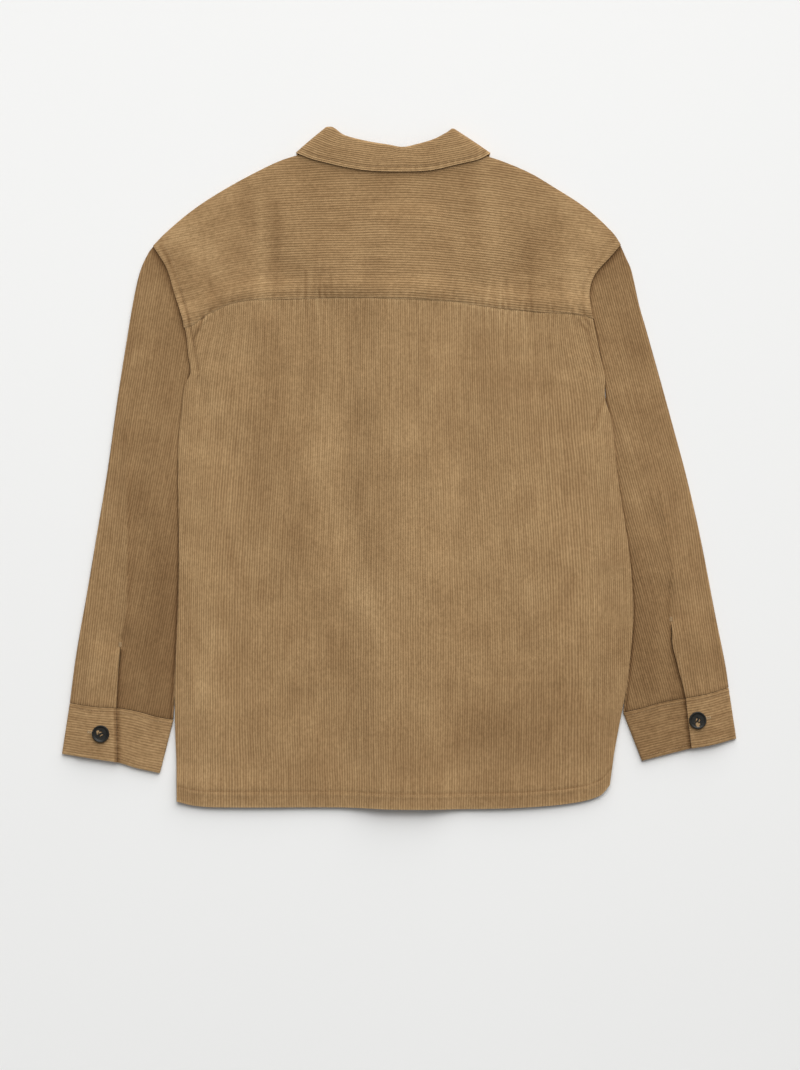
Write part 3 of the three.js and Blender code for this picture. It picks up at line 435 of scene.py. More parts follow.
def clothPiece(name, us, vs, shape, wales, tone, thick, weld=False, rim=0.5, thin=None, ribs=None):
    deselectAll()
    us, vs = np.asarray(us, float), np.asarray(vs, float)
    bpy.ops.mesh.primitive_grid_add(x_subdivisions=len(us) - 1, y_subdivisions=len(vs) - 1, size=1)
    piece = bpy.context.active_object
    piece.name = piece.data.name = name
    mesh = piece.data
    count = len(mesh.vertices)
    flat = np.empty(count * 3)
    mesh.vertices.foreach_get("co", flat)
    flat = flat.reshape(-1, 3)
    i = np.rint((flat[:, 0] + 0.5) * (len(us) - 1)).astype(int)
    j = np.rint((0.5 - flat[:, 1]) * (len(vs) - 1)).astype(int)
    places = shape(i, j, us[i], vs[j])
    mesh.vertices.foreach_set("co", (places * mm).ravel())
    across, along, *beyond = wales(i, j, places)
    loops = np.empty(len(mesh.loops), int)
    mesh.loops.foreach_get("vertex_index", loops)
    weave = mesh.uv_layers[0]
    weave.name = "wales"
    pairs = np.stack([across, along], -1)[loops]
    if beyond:  # whole faces past a crease follow their own wales
        past = np.repeat(beyond[1][loops].reshape(-1, 4).mean(1) > 0.5, 4)
        pairs[past, 0] = beyond[0][loops][past]
    weave.data.foreach_set("uv", (pairs / cloth["wale"]).ravel())
    # tone: painted light and shade, with the cloth's own lighter and darker places
    pointValues(mesh, "tone", tone(places[:, 0], places[:, 1], i, j))
    pointValues(mesh, "ribs", ribs(places[:, 0], places[:, 1]) if ribs else 1.0)
    mesh.update()
    spread = {}
    if thin:
        group = piece.vertex_groups.new(name="thickness")
        shares = np.broadcast_to(thin(places[:, 0], places[:, 1]), count)
        for index in np.flatnonzero(shares < 0.999):
            group.add([int(index)], float(shares[index]), "REPLACE")
        group.add([int(index) for index in np.flatnonzero(shares >= 0.999)], 1.0, "REPLACE")
        spread = {"vertex_group": "thickness", "thickness_vertex_group": 0.0}
    if weld:
        bpy.ops.object.mode_set(mode="EDIT")
        bpy.ops.mesh.select_all(action="SELECT")
        bpy.ops.mesh.remove_doubles(threshold=1e-6)
        bpy.ops.object.mode_set(mode="OBJECT")
    useModifier(piece, "SOLIDIFY", thickness=thick * mm, offset=0, use_even_offset=False, **spread)
    soften(piece, rim * mm, 2, 60)
    bpy.ops.object.shade_smooth_by_angle(angle=math.radians(50))
    return piece


def steps(size, length):  # from 0 to 1, for cells of about that size
    return np.linspace(0, 1, int(round(1 / (size / length))) + 1)


# Shader maths: a wire is a socket that can be added, multiplied and so on
class Wire:
    def __init__(self, net, socket):
        self.net, self.socket = net, socket

    def maths(self, operation, *others):
        made = self.net.tree.nodes.new("ShaderNodeMath")
        made.operation = operation
        for place, value in enumerate((self, *others)):
            self.net.feed(made.inputs[place], value)
        return Wire(self.net, made.outputs[0])

    def __add__(self, other):
        return self.maths("ADD", other)

    def __mul__(self, other):
        return self.maths("MULTIPLY", other)

    def __sub__(self, other):
        return self.maths("SUBTRACT", other)

    def __rsub__(self, other):
        return (self * -1) + other

    def __truediv__(self, other):
        return self.maths("DIVIDE", other)

    def __pow__(self, other):
        return self.maths("POWER", other)

    __radd__, __rmul__ = __add__, __mul__


class Net:
    def __init__(self, name):
        self.material = bpy.data.materials.new(name)
        self.material.use_nodes = True
        self.tree = self.material.node_tree
        self.tree.nodes.clear()

    def feed(self, socket, value):
        if isinstance(value, Wire):
            self.tree.links.new(value.socket, socket)
        else:
            socket.default_value = value

    def node(self, kind, settings=None, sockets=None, out=0):
        made = self.tree.nodes.new(kind)
        for key, value in (settings or {}).items():
            setattr(made, key, value)
        for key, value in (sockets or {}).items():
            self.feed(made.inputs[key], value)
        return Wire(self, made.outputs[out]) if len(made.outputs) else None

    def colours(self, first, second, part, blend="MIX"):
        settings = {"data_type": "RGBA", "blend_type": blend}
        return self.node("ShaderNodeMix", settings, {0: part, 6: first, 7: second}, 2)

    def place(self):
        return self.node("ShaderNodeTexCoord", None, None, 3)

    def noise(self, at, scale, detail):
        return self.node("ShaderNodeTexNoise", None, {"Vector": at, "Scale": scale, "Detail": detail}, 0)

    def bump(self, height, strength, distance):
        sockets = {"Height": height, "Strength": strength, "Distance": distance}
        return self.node("ShaderNodeBump", None, sockets)

    def finish(self, **sockets):
        shader = self.node("ShaderNodeBsdfPrincipled", None, sockets)
        self.node("ShaderNodeOutputMaterial", None, {"Surface": shader})
        return self.material


# The groove colour is painted shade in the hollows between the wales.
corduroyLook = {
    "crest": (0.412, 0.258, 0.1245, 1), "groove": (0.272, 0.166, 0.0745, 1), "deep": 0.8, "nap": 0.5,
    "mottle": 0.42, "waleVary": 0.42, "rubbed": 0.9, "ribBump": 0.34, "roughness": 0.93, "sheen": 0.12,
    "fibre": 1.4, "broken": 1.5, "green": 1.18, "blue": 1.36,
}


def corduroy(name, warm=1.0):
    look, net = corduroyLook, Net(name)
    weave = net.node("ShaderNodeUVMap", {"uv_map": "wales"})
    place = net.place()

    def noise(scale, detail=2.0, stretch=None):
        at = net.node("ShaderNodeMapping", None, {0: weave, 3: stretch}) if stretch else place
        return net.noise(at, scale, detail)

    across = net.node("ShaderNodeSeparateXYZ", None, {0: weave}, 0)
    wander = noise(1.0, 2.0, (0.09, 0.06, 1.0))
    rib = ((across + (wander - 0.5) * 0.9) * (2 * math.pi)).maths("COSINE") * 0.5 + 0.5
    crest = rib ** look["deep"]
    oneWale = noise(1.0, 1.0, (0.9, 0.05, 1.0)) - 0.5  # each wale a little lighter or darker along its way
    # here it is the wales' rubbed wear only
    wearAndPaintedLight = noise(1.0, 2.0, (0.16, 0.07, 1.0)) * look["rubbed"] + (1 - look["rubbed"] / 2)
    broken = noise(1.0, 2.0, (1.3, 0.45, 1.0)) - 0.5
    nap = noise(900.0, 3.0)
    fibre = noise(300.0, 4.0) - 0.5
    patches = noise(26.0, 6.0) - 0.5
    broad = noise(6.0, 3.0) - 0.5
    tone = net.node("ShaderNodeAttribute", {"attribute_name": "tone"}, None, 2)
    ribs = net.node("ShaderNodeAttribute", {"attribute_name": "ribs"}, None, 2)
    grain = (nap - 0.5) * look["nap"] + fibre * look["fibre"] + broken * look["broken"]
    # the wales: crest colour, with painted shade in the grooves
    ground = net.colours(look["groove"], look["crest"], (crest - 0.55) * wearAndPaintedLight * ribs + 0.5 + grain)
    # tone brings the painted light and shade; the noises are the cloth's own mottling
    lie = tone * (patches * look["mottle"] + broad * 0.12 + oneWale * look["waleVary"] + 1.0) * warm
    shade = net.node("ShaderNodeCombineXYZ", None, {0: lie, 1: lie ** look["green"], 2: lie ** look["blue"]})
    base = net.node("ShaderNodeVectorMath", {"operation": "MULTIPLY"}, {0: ground, 1: shade})
    height = crest * wearAndPaintedLight * ribs + nap * 0.3 + fibre * 0.4 + broken * 0.25
    bump = net.bump(height, 1.0, look["ribBump"] * mm)
    return net.finish(**{"Base Color": base, "Roughness": look["roughness"], "Normal": bump,
                         "Sheen Weight": look["sheen"], "Sheen Roughness": 0.45,
                         "Sheen Tint": (1.0, 0.9, 0.76, 1), "Specular IOR Level": 0.15})


bodyCloth = corduroy("corduroyBody", 0.98)
yokeCloth = corduroy("corduroyYoke", 0.93)


def dress(piece, finish, nodes):
    piece.data.materials.clear()
    piece.data.materials.append(finish)
    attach(piece, "root")
    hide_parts(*nodes)
    print("made", piece.name, len(piece.data.polygons), "faces")


# Where the frame stands: its jacket is centred over the origin
buttonBox = [np.array(corner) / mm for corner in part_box("front_button_1")]
shift = (buttonBox[0] + buttonBox[1]) / 2 - np.array([closure["x"], closure["firstButton"], 0])
shift[2] = 0
print("frame shift, mm:", shift)


def placed(x, y, z):
    return np.stack(np.broadcast_arrays(x, y, z), -1) + shift


def ruled(middle):
    return lambda i, j, u, v: placed(*middle(u, v))


def gridded(grid):
    return lambda i, j, u, v: grid[j, i, :3] + shift


def gapLength(start, end):
    return np.hypot(start[..., 0] - end[..., 0], start[..., 1] - end[..., 1])


# Back yoke
bodyWide = 490
seamEdge = {"lift": 0.45, "over": 1.3, "armpitOver": 1.3, "groove": 0.4, "stitch": 7}
yoke = {"column": 2.35, "row": 2.2, "lap": 8, "wide": 510, "depth": 190, "press": 1.1, "pressed": 0.3,
        "over": 1.8, "sideOver": 0.7, "stitch": 5.2}
yokeRow = {"left": 3, "right": 4}
cornerLeft, cornerRight = yokeSeam[0], yokeSeam[-1]
yokePlace = patch(curve(armholeLeft[:yokeRow["left"] + 1] + [cornerLeft]),
                  curve(armholeRight[:yokeRow["right"] + 1] + [cornerRight]),
                  spanOf(yokeTop, armholeLeft[0][0], armholeRight[0][0]),
                  spanOf(seamOver, cornerLeft[0], cornerRight[0]))


def outward(place, u, v):  # across the piece's side edges, away from its middle
    step = place(np.round(u), np.minimum(v + 0.02, 1)) - place(np.round(u), np.maximum(v - 0.02, 0))
    step = step / np.hypot(step[..., 0], step[..., 1])[..., None]
    side = np.sign(np.asarray(u) - 0.5)[..., None]
    return side * np.stack([-step[..., 1], step[..., 0]], -1)


def yokeMiddle(u, v):
    u, v = np.broadcast_arrays(np.asarray(u, float), np.asarray(v, float))
    at = yokePlace(u, v)
    deep = gapLength(yokePlace(u, 0.0), yokePlace(u, 1.0))
    nearSide = fall(np.minimum(u, 1 - u) * bodyWide, 12)
    over = mix(yoke["sideOver"], yoke["over"], 1 - fall(at[..., 1] - 215, 24))
    at = at + (over * nearSide)[..., None] * outward(yokePlace, u, v)
    x, y = at[..., 0], at[..., 1]
    above = (1 - v) * deep
    lapped = backHeight(x, y) + (layer + 0.1) * fall(above - yoke["lap"] - 3, 16)
    lapped = lapped - yoke["press"] * fall(above, 7)
    relief = folds(yokeCreases, x, y) + 0.7 * backLie(x, y) + smallLie(x, y)
    relief = relief * fall(underCollar(x, y) * 12, 8) * np.clip(above / 3, 0.35, 1)
    stitchDip = 0.35 * bell(above - yoke["stitch"], 1.1)
    drawn = 0.8 * puckers(yokePuckers, x, np.maximum(above - 3, 0)) * fall(2 - above, 3)
    z = lapped + relief - stitchDip + drawn - seamEdge["groove"] * seamLines(x, y)
    z = mix(z, meeting(x, y, 1) + 0.3 * nearSide, onShoulder(x) * curl(v * deep))
    return x, y, z


def yokeWales(i, j, at):
    x, y = at[:, 0], at[:, 1]
    leftDrop = 0.27 * (np.sqrt((-158 - x) ** 2 + 900) + (-158 - x)) / 2
    rightDrop = 0.13 * (np.sqrt((x - 40) ** 2 + 2500) + (x - 40)) / 2
    sway = 2.2 * np.sin(x / 61 + 1.2) * np.sin(y / 77 + 0.4)
    return y + leftDrop + rightDrop + sway, x


def aboveSeam(x, y):
    return y - seamOver(np.clip(x, yokeSeam[0][0], yokeSeam[-1][0]))


def armholeLine(x, y, side):
    rows = armholeLeft if side < 0 else armholeRight
    xs, ys = np.array(rows[::-1]).T
    return side * (np.interp(y, ys, xs) - x)


def seamLines(x, y):
    left, right = (bell(armholeLine(x, y, side) - seamEdge["stitch"], 1.1) for side in (-1, 1))
    return np.where((y > 100) & (y < 262), left * mix(0.4, 1.0, fall(y - 225, 25)) + 0.5 * right, 0)


def sideRim(x, y):  # the turned edge along an armhole catches the light
    rims = sum(bell(armholeLine(x, y, side) - 2.5, 2.0) for side in (-1, 1))
    return np.where((y > 100) & (y < 256), rims, 0)


def yokeTone(x, y, i, j):
    rise = aboveSeam(x, y)
    # painted shade along the stitch row, painted light on the yoke's lower edge against its shade
    paintedSeamShading = 0.07 * bell(rise - yoke["stitch"], 1.1) - 0.50 * bell(rise, 1.1)
    away = np.maximum(rise - 3, 0)
    # painted light and shade on the puckers
    drawn = 0.10 * puckers(yokePuckers, x, away) + 0.50 * puckerShade(yokePuckers, x, away)
    # painted shade and painted highlight along the creases, painted shade in the armhole groove, the lit turned
    # edge
    lines = streaks(creaseShades, x, y, 1) - 0.40 * seamLines(x, y) + 0.09 * sideRim(x, y)
    # painted highlight along the ridge just above the seam
    ridge = 0.05 * bell(rise - 2.6, 1.4)
    shades = streaks(napStreaks, x, y, 1.9) + streaks(creaseShades, x, y, 0.4)
    return 1.01 + shades + drawn - paintedSeamShading + lines + ridge + 0.12 * collarShadowLift(x, y)


collarEdge = sorted((row[6], row[7]) for row in collarSections if row[7] > 326 and row[0] >= 0)


# where painted light lifts the shadow that the collar's edge casts on the yoke
def collarShadowLift(x, y):
    below = np.interp(x, *np.array(collarEdge).T) - y
    return bell(below - 1.2, 1.8) * (np.abs(x + 7) < 106)


def yokeRibs(x, y):
    return 1 - 0.6 * fall(x + 205, 130) - 0.35 * fall(205 - x, 90)


def yokeThin(x, y):
    return 1 - (1 - yoke["pressed"]) * fall(aboveSeam(x, y) / 2.2, 1)


backYoke = clothPiece("backYoke", steps(yoke["column"], yoke["wide"]), steps(yoke["row"], yoke["depth"]),
                      ruled(yokeMiddle), yokeWales, yokeTone, cloth["thick"],
                      rim=0.2, thin=yokeThin, ribs=yokeRibs)
dress(backYoke, yokeCloth, ["back_yoke"])


# Back panel, with its turned hem. Its side edges lie a little over the sleeves.
back = {"column": 2.4, "wide": 500, "depth": 560}
rowRuns = [(0, 100, 50), (100, 190, 31), (190, 532, 76), (532, 560, 17)]
backRows = np.unique(np.concatenate([np.linspace(*run) for run in rowRuns])) / back["depth"]
backTopLeft, backTopRight = armholeLeft[yokeRow["left"]], armholeRight[yokeRow["right"]]


def backTop(x):
    return seamOver(np.clip(x, yokeSeam[0][0], yokeSeam[-1][0])) + yoke["lap"]


backPlace = patch(curve(armholeLeft[yokeRow["left"]:] + sideLeft[1:]),
                  curve(armholeRight[yokeRow["right"]:] + sideRight[1:]),
                  spanOf(backTop, backTopLeft[0], backTopRight[0]),
                  spanOf(hemOver, hemEdge[0][0], hemEdge[-1][0]))


def hemNear(x, y, fade):
    return fall(aboveHem(x, y), fade)


def sideOver(u, y, armpit):
    near = np.clip(1 - np.minimum(u, 1 - u) * bodyWide / 14, 0, 1) ** 1.5
    reach = seamEdge["over"] + seamEdge["armpitOver"] * (u < 0.5) * fall(np.abs(y - armpit) - 12, 30)
    return np.sign(u - 0.5) * reach * near * fall(y - armpit - 22, 24) * fall(-y - 238, 34)


def backMiddle(u, v):
    at = backPlace(u, v)
    x, y = at[..., 0], at[..., 1]
    armpit = np.where(u < 0.5, sideLeft[0][1], sideRight[0][1])
    curled = curl(np.minimum(u, 1 - u) * bodyWide) * fall(y - armpit + 36, 36)
    hemLift = (2 * hem["fold"] - cloth["air"] + cloth["seamGap"]) * hemNear(x, y, 30)
    below = seamOver(np.clip(x, -236, 214)) - y
    relief = 1.5 * folds(backCreases, x, y) + backLie(x, y) + smallLie(x, y)
    relief = relief + puckers(yokePuckers, x, np.maximum(below, 0)) * fall(-below, 2)
    relief = relief + puckers(hemPuckers, x, aboveHem(x, y))
    ridge = 0.5 * bell(aboveHem(x, y) + 3, 2.5)
    groove = 0.55 * bell(aboveHem(x, y), 1.2)
    relief = relief * fall(-4 - below, 4) + ridge - groove - seamEdge["groove"] * seamLines(x, y)
    edge = meeting(x, y, 1) + seamEdge["lift"] + 2 * hem["fold"] * hemNear(x, y, 30)
    return x + sideOver(u, y, armpit), y, mix(backHeight(x, y) + hemLift + relief, edge, curled)


def backWales(i, j, at):
    x, y = at[:, 0], at[:, 1]
    fan = 1 + 0.00037 * (np.sqrt((y + 100) ** 2 + 6400) + (y + 100)) / 2
    sway = 1.6 * np.sin(y / 83 + 0.7) * np.sin(x / 71)
    rightCorner = 8 * np.tanh((y - 128) / 30) * bell(x - 212, 32)
    leftCorner = -5 * np.tanh((y - 140) / 30) * bell(x + 207, 30)
    return x * fan + sway + rightCorner + leftCorner, y


def backTone(x, y, i, j):
    # painted shade in the groove of the hem's stitch line
    hemGrooveShade = 0.22 * bell(aboveHem(x, y), 1.3)
    below = -aboveSeam(x, y)
    # painted shade just below the yoke seam, painted light lifting the yoke's cast shadow right at it
    seamShadeAndLight = 0.03 * np.exp(-(below / 5.0)) * (below > 0) - 0.2 * bell(below, 1.4)
    # painted light on the hem's edge, against the shade of its side
    wearAndPaintedLight = 0.42 * bell(fromHem(x, y), 1.4)
    # a little lighter in a band down the middle of the lower back
    pressed = 0.03 * np.exp(-(((x - 7) / 17) ** 6)) * fall(-y - 60, 160)
    inner = 0.035 * bell(y + 237, 2.2) * fall(-110 - x, 20) * fall(x - 205, 12)
    lower = 0.03 * fall(y + 230, 120)
    away = np.maximum(below, 0)
    # painted light and shade on the puckers below the yoke seam and along the hem
    drawn = (0.12 * puckers(yokePuckers, x, away) + 0.50 * puckerShade(yokePuckers, x, away)) * (below > 0)
    hemPuckerShading = 0.5 * puckerShade(hemPuckers, x, aboveHem(x, y))
    shades = streaks(napStreaks, x, y) + streaks(creaseShades, x, y, 1)
    # the lit turned edge, and painted shade in the armhole groove
    lit = 1.0 + shades + drawn + hemPuckerShading + pressed + wearAndPaintedLight + 0.08 * sideRim(x, y)
    return lit - hemGrooveShade - seamShadeAndLight - inner - lower - 0.36 * seamLines(x, y)


backPanel = clothPiece("backPanel", steps(back["column"], back["wide"]), backRows,
                       ruled(backMiddle), backWales, backTone, cloth["thick"],
                       rim=0.25)
dress(backPanel, bodyCloth, ["back_panel"])
print("back done")


# Fronts, which lie on the floor
front = {"column": 4.5, "row": 4.5, "length": 620, "wide": 270}
frontLie = unevenness(8, 120, 0.25)


def frontMaker(sign):
    isLeft = sign < 0
    edgeX = placketRight if isLeft else placketLeft
    neckOver = edgeOver(shoulderLeft + leftNeck if isLeft else rightNeck + shoulderRight)
    arm, side = (armholeLeft, sideLeft) if isLeft else (armholeRight, sideRight)
    order = 1 if isLeft else -1
    top, foot = (np.array([edgeX, over(edgeX)], float) for over in (neckOver, hemOver))
    sides = [curve(arm + side[1:]), lambda t: mix(top, foot, np.asarray(t)[..., None])][::order]
    necks, feet = [arm[0][0], edgeX][::order], [side[-1][0], edgeX][::order]
    place = patch(*sides, spanOf(neckOver, *necks), spanOf(hemOver, *feet))
    ownHeight = frontLeftHeight if isLeft else frontRightHeight

    def middle(u, v):
        at = place(u, v)
        x, y = at[..., 0], at[..., 1]
        fromEdge = (u if isLeft else 1 - u) * abs(edgeX - side[-1][0])
        deep = gapLength(place(u, 0.0), place(u, 1.0))
        sideways = curl(fromEdge) * fall(y - side[0][1] + 36, 36)
        curled = np.maximum(sideways, onShoulder(x) * curl(v * deep))
        lifted = ownHeight(x, y)
        loose = np.clip((lifted - half) / 2, 0, 1) * frontLie(x, y)
        groove = 0.3 * bell(aboveHem(x, y), 1.3)
        edge = meeting(x, y, -1) + seamEdge["lift"] * fall(y - side[0][1] + 10, 10)
        return x, y, mix(lifted + np.minimum(loose, 0.3) * 0.4 + groove, edge, curled)

    return middle


def frontTone(x, y, i, j):
    # painted light on the hem's edge, painted shade in the groove of its stitch line
    wearAndPaintedLight = 0.42 * bell(fromHem(x, y), 2.0)
    return 0.98 + wearAndPaintedLight - 0.12 * bell(aboveHem(x, y), 1.4)


frontShapes = {-1: frontMaker(-1), 1: frontMaker(1)}
for sign, name, node in ((-1, "frontLeft", "front_left"), (1, "frontRight", "front_right")):
    piece = clothPiece(name, steps(front["column"], front["wide"]),
                       steps(front["row"], front["length"]), ruled(frontShapes[sign]),
                       lambda i, j, at: at.T[:2], frontTone, cloth["thick"])
    dress(piece, bodyCloth, [node])

bandTop = leftNeck[-1][1]


def bandMiddle(u, v):
    x = mix(placketLeft, placketRight, u)
    y = mix(bandTop, hemOver(x), v)
    return x, y, frontLeftHeight(x, y) - layer


frontBand = clothPiece("frontBand", steps(0.1, 1), steps(0.006, 1),
                       ruled(bandMiddle), lambda i, j, at: at.T[:2],
                       lambda x, y, i, j: np.ones(len(x)), cloth["thick"])
dress(frontBand, bodyCloth, ["front_band"])
print("fronts done")


# Sleeves and cuffs: flattened tubes, from their opening over the outer fold, back under and round
def ringStations(width, bottom, thick, outerFrom, innerTo, outerTop, innerTop, counts):
    outerReach = (float(outerTop(1.0)) - bottom) / 2
    innerReach = (float(innerTop(0.0)) - bottom) / 2
    outerEnd = 1 - (outerReach + thick / 2) / width
    innerEnd = (innerReach + thick / 2) / width
    f = np.linspace(0, 1, counts["outer"] + 1)
    w = mix(outerFrom, outerEnd, f)
    parts = [(w, mix(outerTop(w), bottom + 2 * outerReach, f ** 6))]
    angle = math.pi * (0.5 - np.arange(1, counts["fold"]) / counts["fold"])
    parts.append((outerEnd + outerReach * np.cos(angle) / width, bottom + outerReach * (1 + np.sin(angle))))
    under = np.linspace(outerEnd, innerEnd, counts["under"] + 1)
    parts.append((under, np.full(len(under), float(bottom))))
    parts.append((innerEnd - innerReach * np.cos(angle) / width, bottom + innerReach * (1 - np.sin(angle))))
    f = np.linspace(0, 1, counts["inner"] + 1)
    w = mix(innerEnd, innerTo, f)
    parts.append((w, mix(bottom + 2 * innerReach, innerTop(w), 1 - (1 - f) ** 6)))
    return np.concatenate([p[0] for p in parts]), np.concatenate([p[1] for p in parts])


sleeveLong, lapShare = 510.0, 0.02
cuffBottom = cloth["cuffThick"] / 2
cuffTop = cuffBottom + cloth["cuffThick"] + 0.5
cuffFlap = cuffTop + cloth["cuffThick"] + cloth["seamGap"]
flapFrom, flapTo = 0.96, 0.8
slitLap = smoothRun([r[0] for r in slitRows], [r[1] for r in slitRows])
slitLift = smoothRun([r[0] for r in slitRows], [r[2] for r in slitRows])
sleeveCounts = {"outer": 26, "fold": 8, "under": 34, "inner": 26}
cuffCounts = {"outer": 30, "fold": 8, "under": 30, "inner": 34}


def flapHeight(w):
    return mix(cuffTop, cuffFlap, fall(w - flapTo, flapFrom - flapTo))


def movedOut(path, distance):
    def move(t):
        t = np.asarray(t, float)
        step = path(np.minimum(t + 0.01, 1)) - path(np.maximum(t - 0.01, 0))
        step = step / np.hypot(step[..., 0], step[..., 1])[..., None]
        return path(t) + distance * np.stack([-step[..., 1], step[..., 0]], -1)

    return move


def slitPlace(arm, s):  # how far across the sleeve the outer side of the slit lies
    slitDown = np.clip((s - arm["slitFrom"]) / (1 - arm["slitFrom"]), 0, 1)
    return mix(arm["slitAt"], arm["slitEnd"], slitDown) + arm["slitBend"] * fall(slitDown, 0.35)


def makeSleeve(arm):
    sign = arm["sign"]
    lastPoint = arm["armhole"][-1]
    rising = [(lastPoint[0] + sign * 1.2, lastPoint[1])] + arm["armhole"][-2::-1]
    start = movedOut(curve(rising), -sign * 1.0)
    seamCurve = curve(arm["seam"])
    end = lambda t: seamCurve(t) + np.array([0, 0.5])
    clear = [(x + sign * 1.2, y) for x, y in arm["side"][1:] if y > arm["seam"][0][1] + 30]
    inner = curve([tuple(start(0.0))] + clear + [tuple(end(0.0))])
    fold = curve([tuple(start(1.0))] + arm["outer"] + [tuple(end(1.0))])
    place = patch(inner, fold, start, end)
    drawn = puckerRow(0.03, 0.97, lambda w: 0.3)
    pulls = [(at, 0, 0.018, reach * 0.7, force) for at, _, _, reach, force in drawn]
    rows = []
    down = np.unique(np.concatenate([np.linspace(0, lapShare, 4), np.linspace(lapShare, arm["slitFrom"], 120),
                                     np.linspace(arm["slitFrom"], 1, 26)]))
    for s in down:
        slitDown = min(max((s - arm["slitFrom"]) / (1 - arm["slitFrom"]), 0), 1)
        width = float(gapLength(place(0.0, s), place(1.0, s)))
        edgeTop = mix(half + layer + 0.2, cuffTop, s)
        swell = 1.3 * math.sin(math.pi * min(max(s, 0.02), 0.98)) ** 0.7
        across = slitPlace(arm, s)

        def flat(w):
            at = place(np.asarray(w, float), s)
            x, y = at[..., 0], at[..., 1]
            dome = np.clip(np.sin(np.pi * np.clip(w, 0, 1)), 0, 1) ** 0.6
            fine = folds(arm["creases"], x, y) + 0.8 * backLie(x * 1.3, y) + smallLie(x, y)
            fine = fine + (puckerWave(pulls, w, (1 - s) * sleeveLong) if s > 0.85 else 0)
            gentle = min(s / 0.04, 1) * min((1 - s) / 0.004 + 0.3, 1)
            flatter = (edgeTop - half - layer + 0.15) * fall(np.asarray(w), 0.13) * float(fall(s - 0.8, 0.12))
            return edgeTop - flatter + dome * (swell + broadFolds(arm["folds"], x, y) + gentle * fine)

        def lifted(w):
            return flat(w) + slitLift(slitDown) * fall(np.asarray(w) - flapTo, flapFrom - flapTo)

        w, z = ringStations(width, half, cloth["thick"], across, across + float(slitLap(slitDown)) / width,
                            lifted, flat, sleeveCounts)
        at = place(w, s)
        if s < lapShare:
            after = place(w, s + lapShare)
            upper = np.ones(len(w))
            upper[sleeveCounts["outer"] + 1:len(w) - sleeveCounts["inner"] - 1] = 0
            lap = 4 * (1 - s / lapShare) * fall(0.22 - w, 0.12) * fall(w - 0.78, 0.12) * upper
            at = at - (after - at) * (lap / gapLength(after, at))[:, None]
        rows.append(np.column_stack([at, z, w]))
    return np.array(rows), down, place


def puckerWave(rows, w, away):
    total = 0
    for at, _, width, reach, height in rows:
        total = total + height * bell(w - at, width) * math.exp(-abs(away) / reach)
    return total


def slitRow(arm, down):
    return int(np.argmin(np.abs(down - arm["slitFrom"])))


def pastCrease(arm, grid, cut, x, y):
    xs, ys = np.array(sorted(arm["creaseLine"] + [tuple(grid[cut, 0, :2])], key=lambda row: row[1])).T
    return arm["sign"] * (x - np.interp(y, ys, xs))


def dressSleeve(arm):
    grid, down, armPlace = sleeveGrids[arm["name"]]
    tones, columns = arm["tones"], grid.shape[1]
    cut = slitRow(arm, down)
    grid[:cut + 1, -1, :] = grid[:cut + 1, 0, :]
    widths = np.array([float(gapLength(armPlace(0.0, s), armPlace(1.0, s))) for s in down])
    outerColumns = sleeveCounts["outer"] + sleeveCounts["fold"] // 2
    innerColumns = columns - sleeveCounts["inner"] - 2

    def side(i, j, x, y):  # 1 on the outer side of the crease and the slit
        past = pastCrease(arm, grid, cut, x, y)
        soft = mix(1.0, 12, fall(arm["creaseTop"] - y, 130))
        return np.where(j > cut, (i <= outerColumns) * 1.0, 0.5 + 0.5 * np.tanh(past / soft)), past

    def wales(i, j, at):
        x, y = at[:, 0], at[:, 1]
        below = y - arm["creaseTop"]
        past = side(i, j, x, y)[1]
        near, far = (np.where(below > 0, x - arm["upperLean"] * below, x - lean * below) * arm["finer"]
                     for lean in (arm["lean"], arm["outerLean"]))
        isFar = np.where(j > cut, i <= outerColumns, past > 0) * 1.0
        return near, y, far, isFar

    def tone(x, y, i, j):
        low = 1 - fall(arm["darkFrom"] - y, 190)
        share, past = side(i, j, x, y)
        w, s, width = grid[j, i, 3], down[j], widths[j]
        upper = (i < outerColumns) | (i > innerColumns)
        # painted light and shade: the top and the two sides of the crease drawn lighter or darker
        body = mix(mix(tones["top"], tones["inner"], low), mix(tones["top"], tones["outer"], low), share)
        fromBody, fromArmhole = w * width, s * sleeveLong
        # painted shade where the sleeve lies under the body's edge and along the armhole
        groove = 0.36 * bell(np.maximum(fromBody - 1.4, 0), 2.4) + 0.10 * np.exp(-fromBody / 10)
        groove = groove + 0.40 * bell(fromArmhole, 6.0) + 0.14 * np.exp(-fromArmhole / 16)
        # painted shade along the crease
        crease = 0.10 * bell(past + 1.6, 1.6) * (j <= cut)
        crease = crease * (1 - fall(arm["creaseTop"] - 30 - y, 60))
        fromSlit = np.abs(slitPlace(arm, s) - w) * width
        # painted shade beside the slit, under its outer side's edge
        slit = 0.30 * bell(fromSlit, 2.2) + 0.16 * np.exp(-fromSlit / 5)
        slit = slit * (j > cut) * (i > innerColumns)
        # painted highlight on the slit's outer edge
        rim = 0.05 * bell(fromSlit - 2, 2) * (j > cut) * (i < outerColumns)
        # painted shade by the cuff seam
        seam = 0.12 * np.exp(-(1 - s) * sleeveLong / 5)
        total = body + streaks(sleeveStreaks, x, y) + rim - crease - slit - seam
        return np.maximum(np.where(upper, total - groove, total), 0.22)

    sleeve = clothPiece(f"sleeve{arm['name'].title()}", np.linspace(0, 1, columns), down, gridded(grid), wales,
                        tone, cloth["thick"], weld=True)
    dress(sleeve, bodyCloth, [f"sleeve_{arm['name']}"])


sleeveGrids = {}
for arm in arms:
    sleeveGrids[arm["name"]] = makeSleeve(arm)
    dressSleeve(arm)
print("sleeves done")


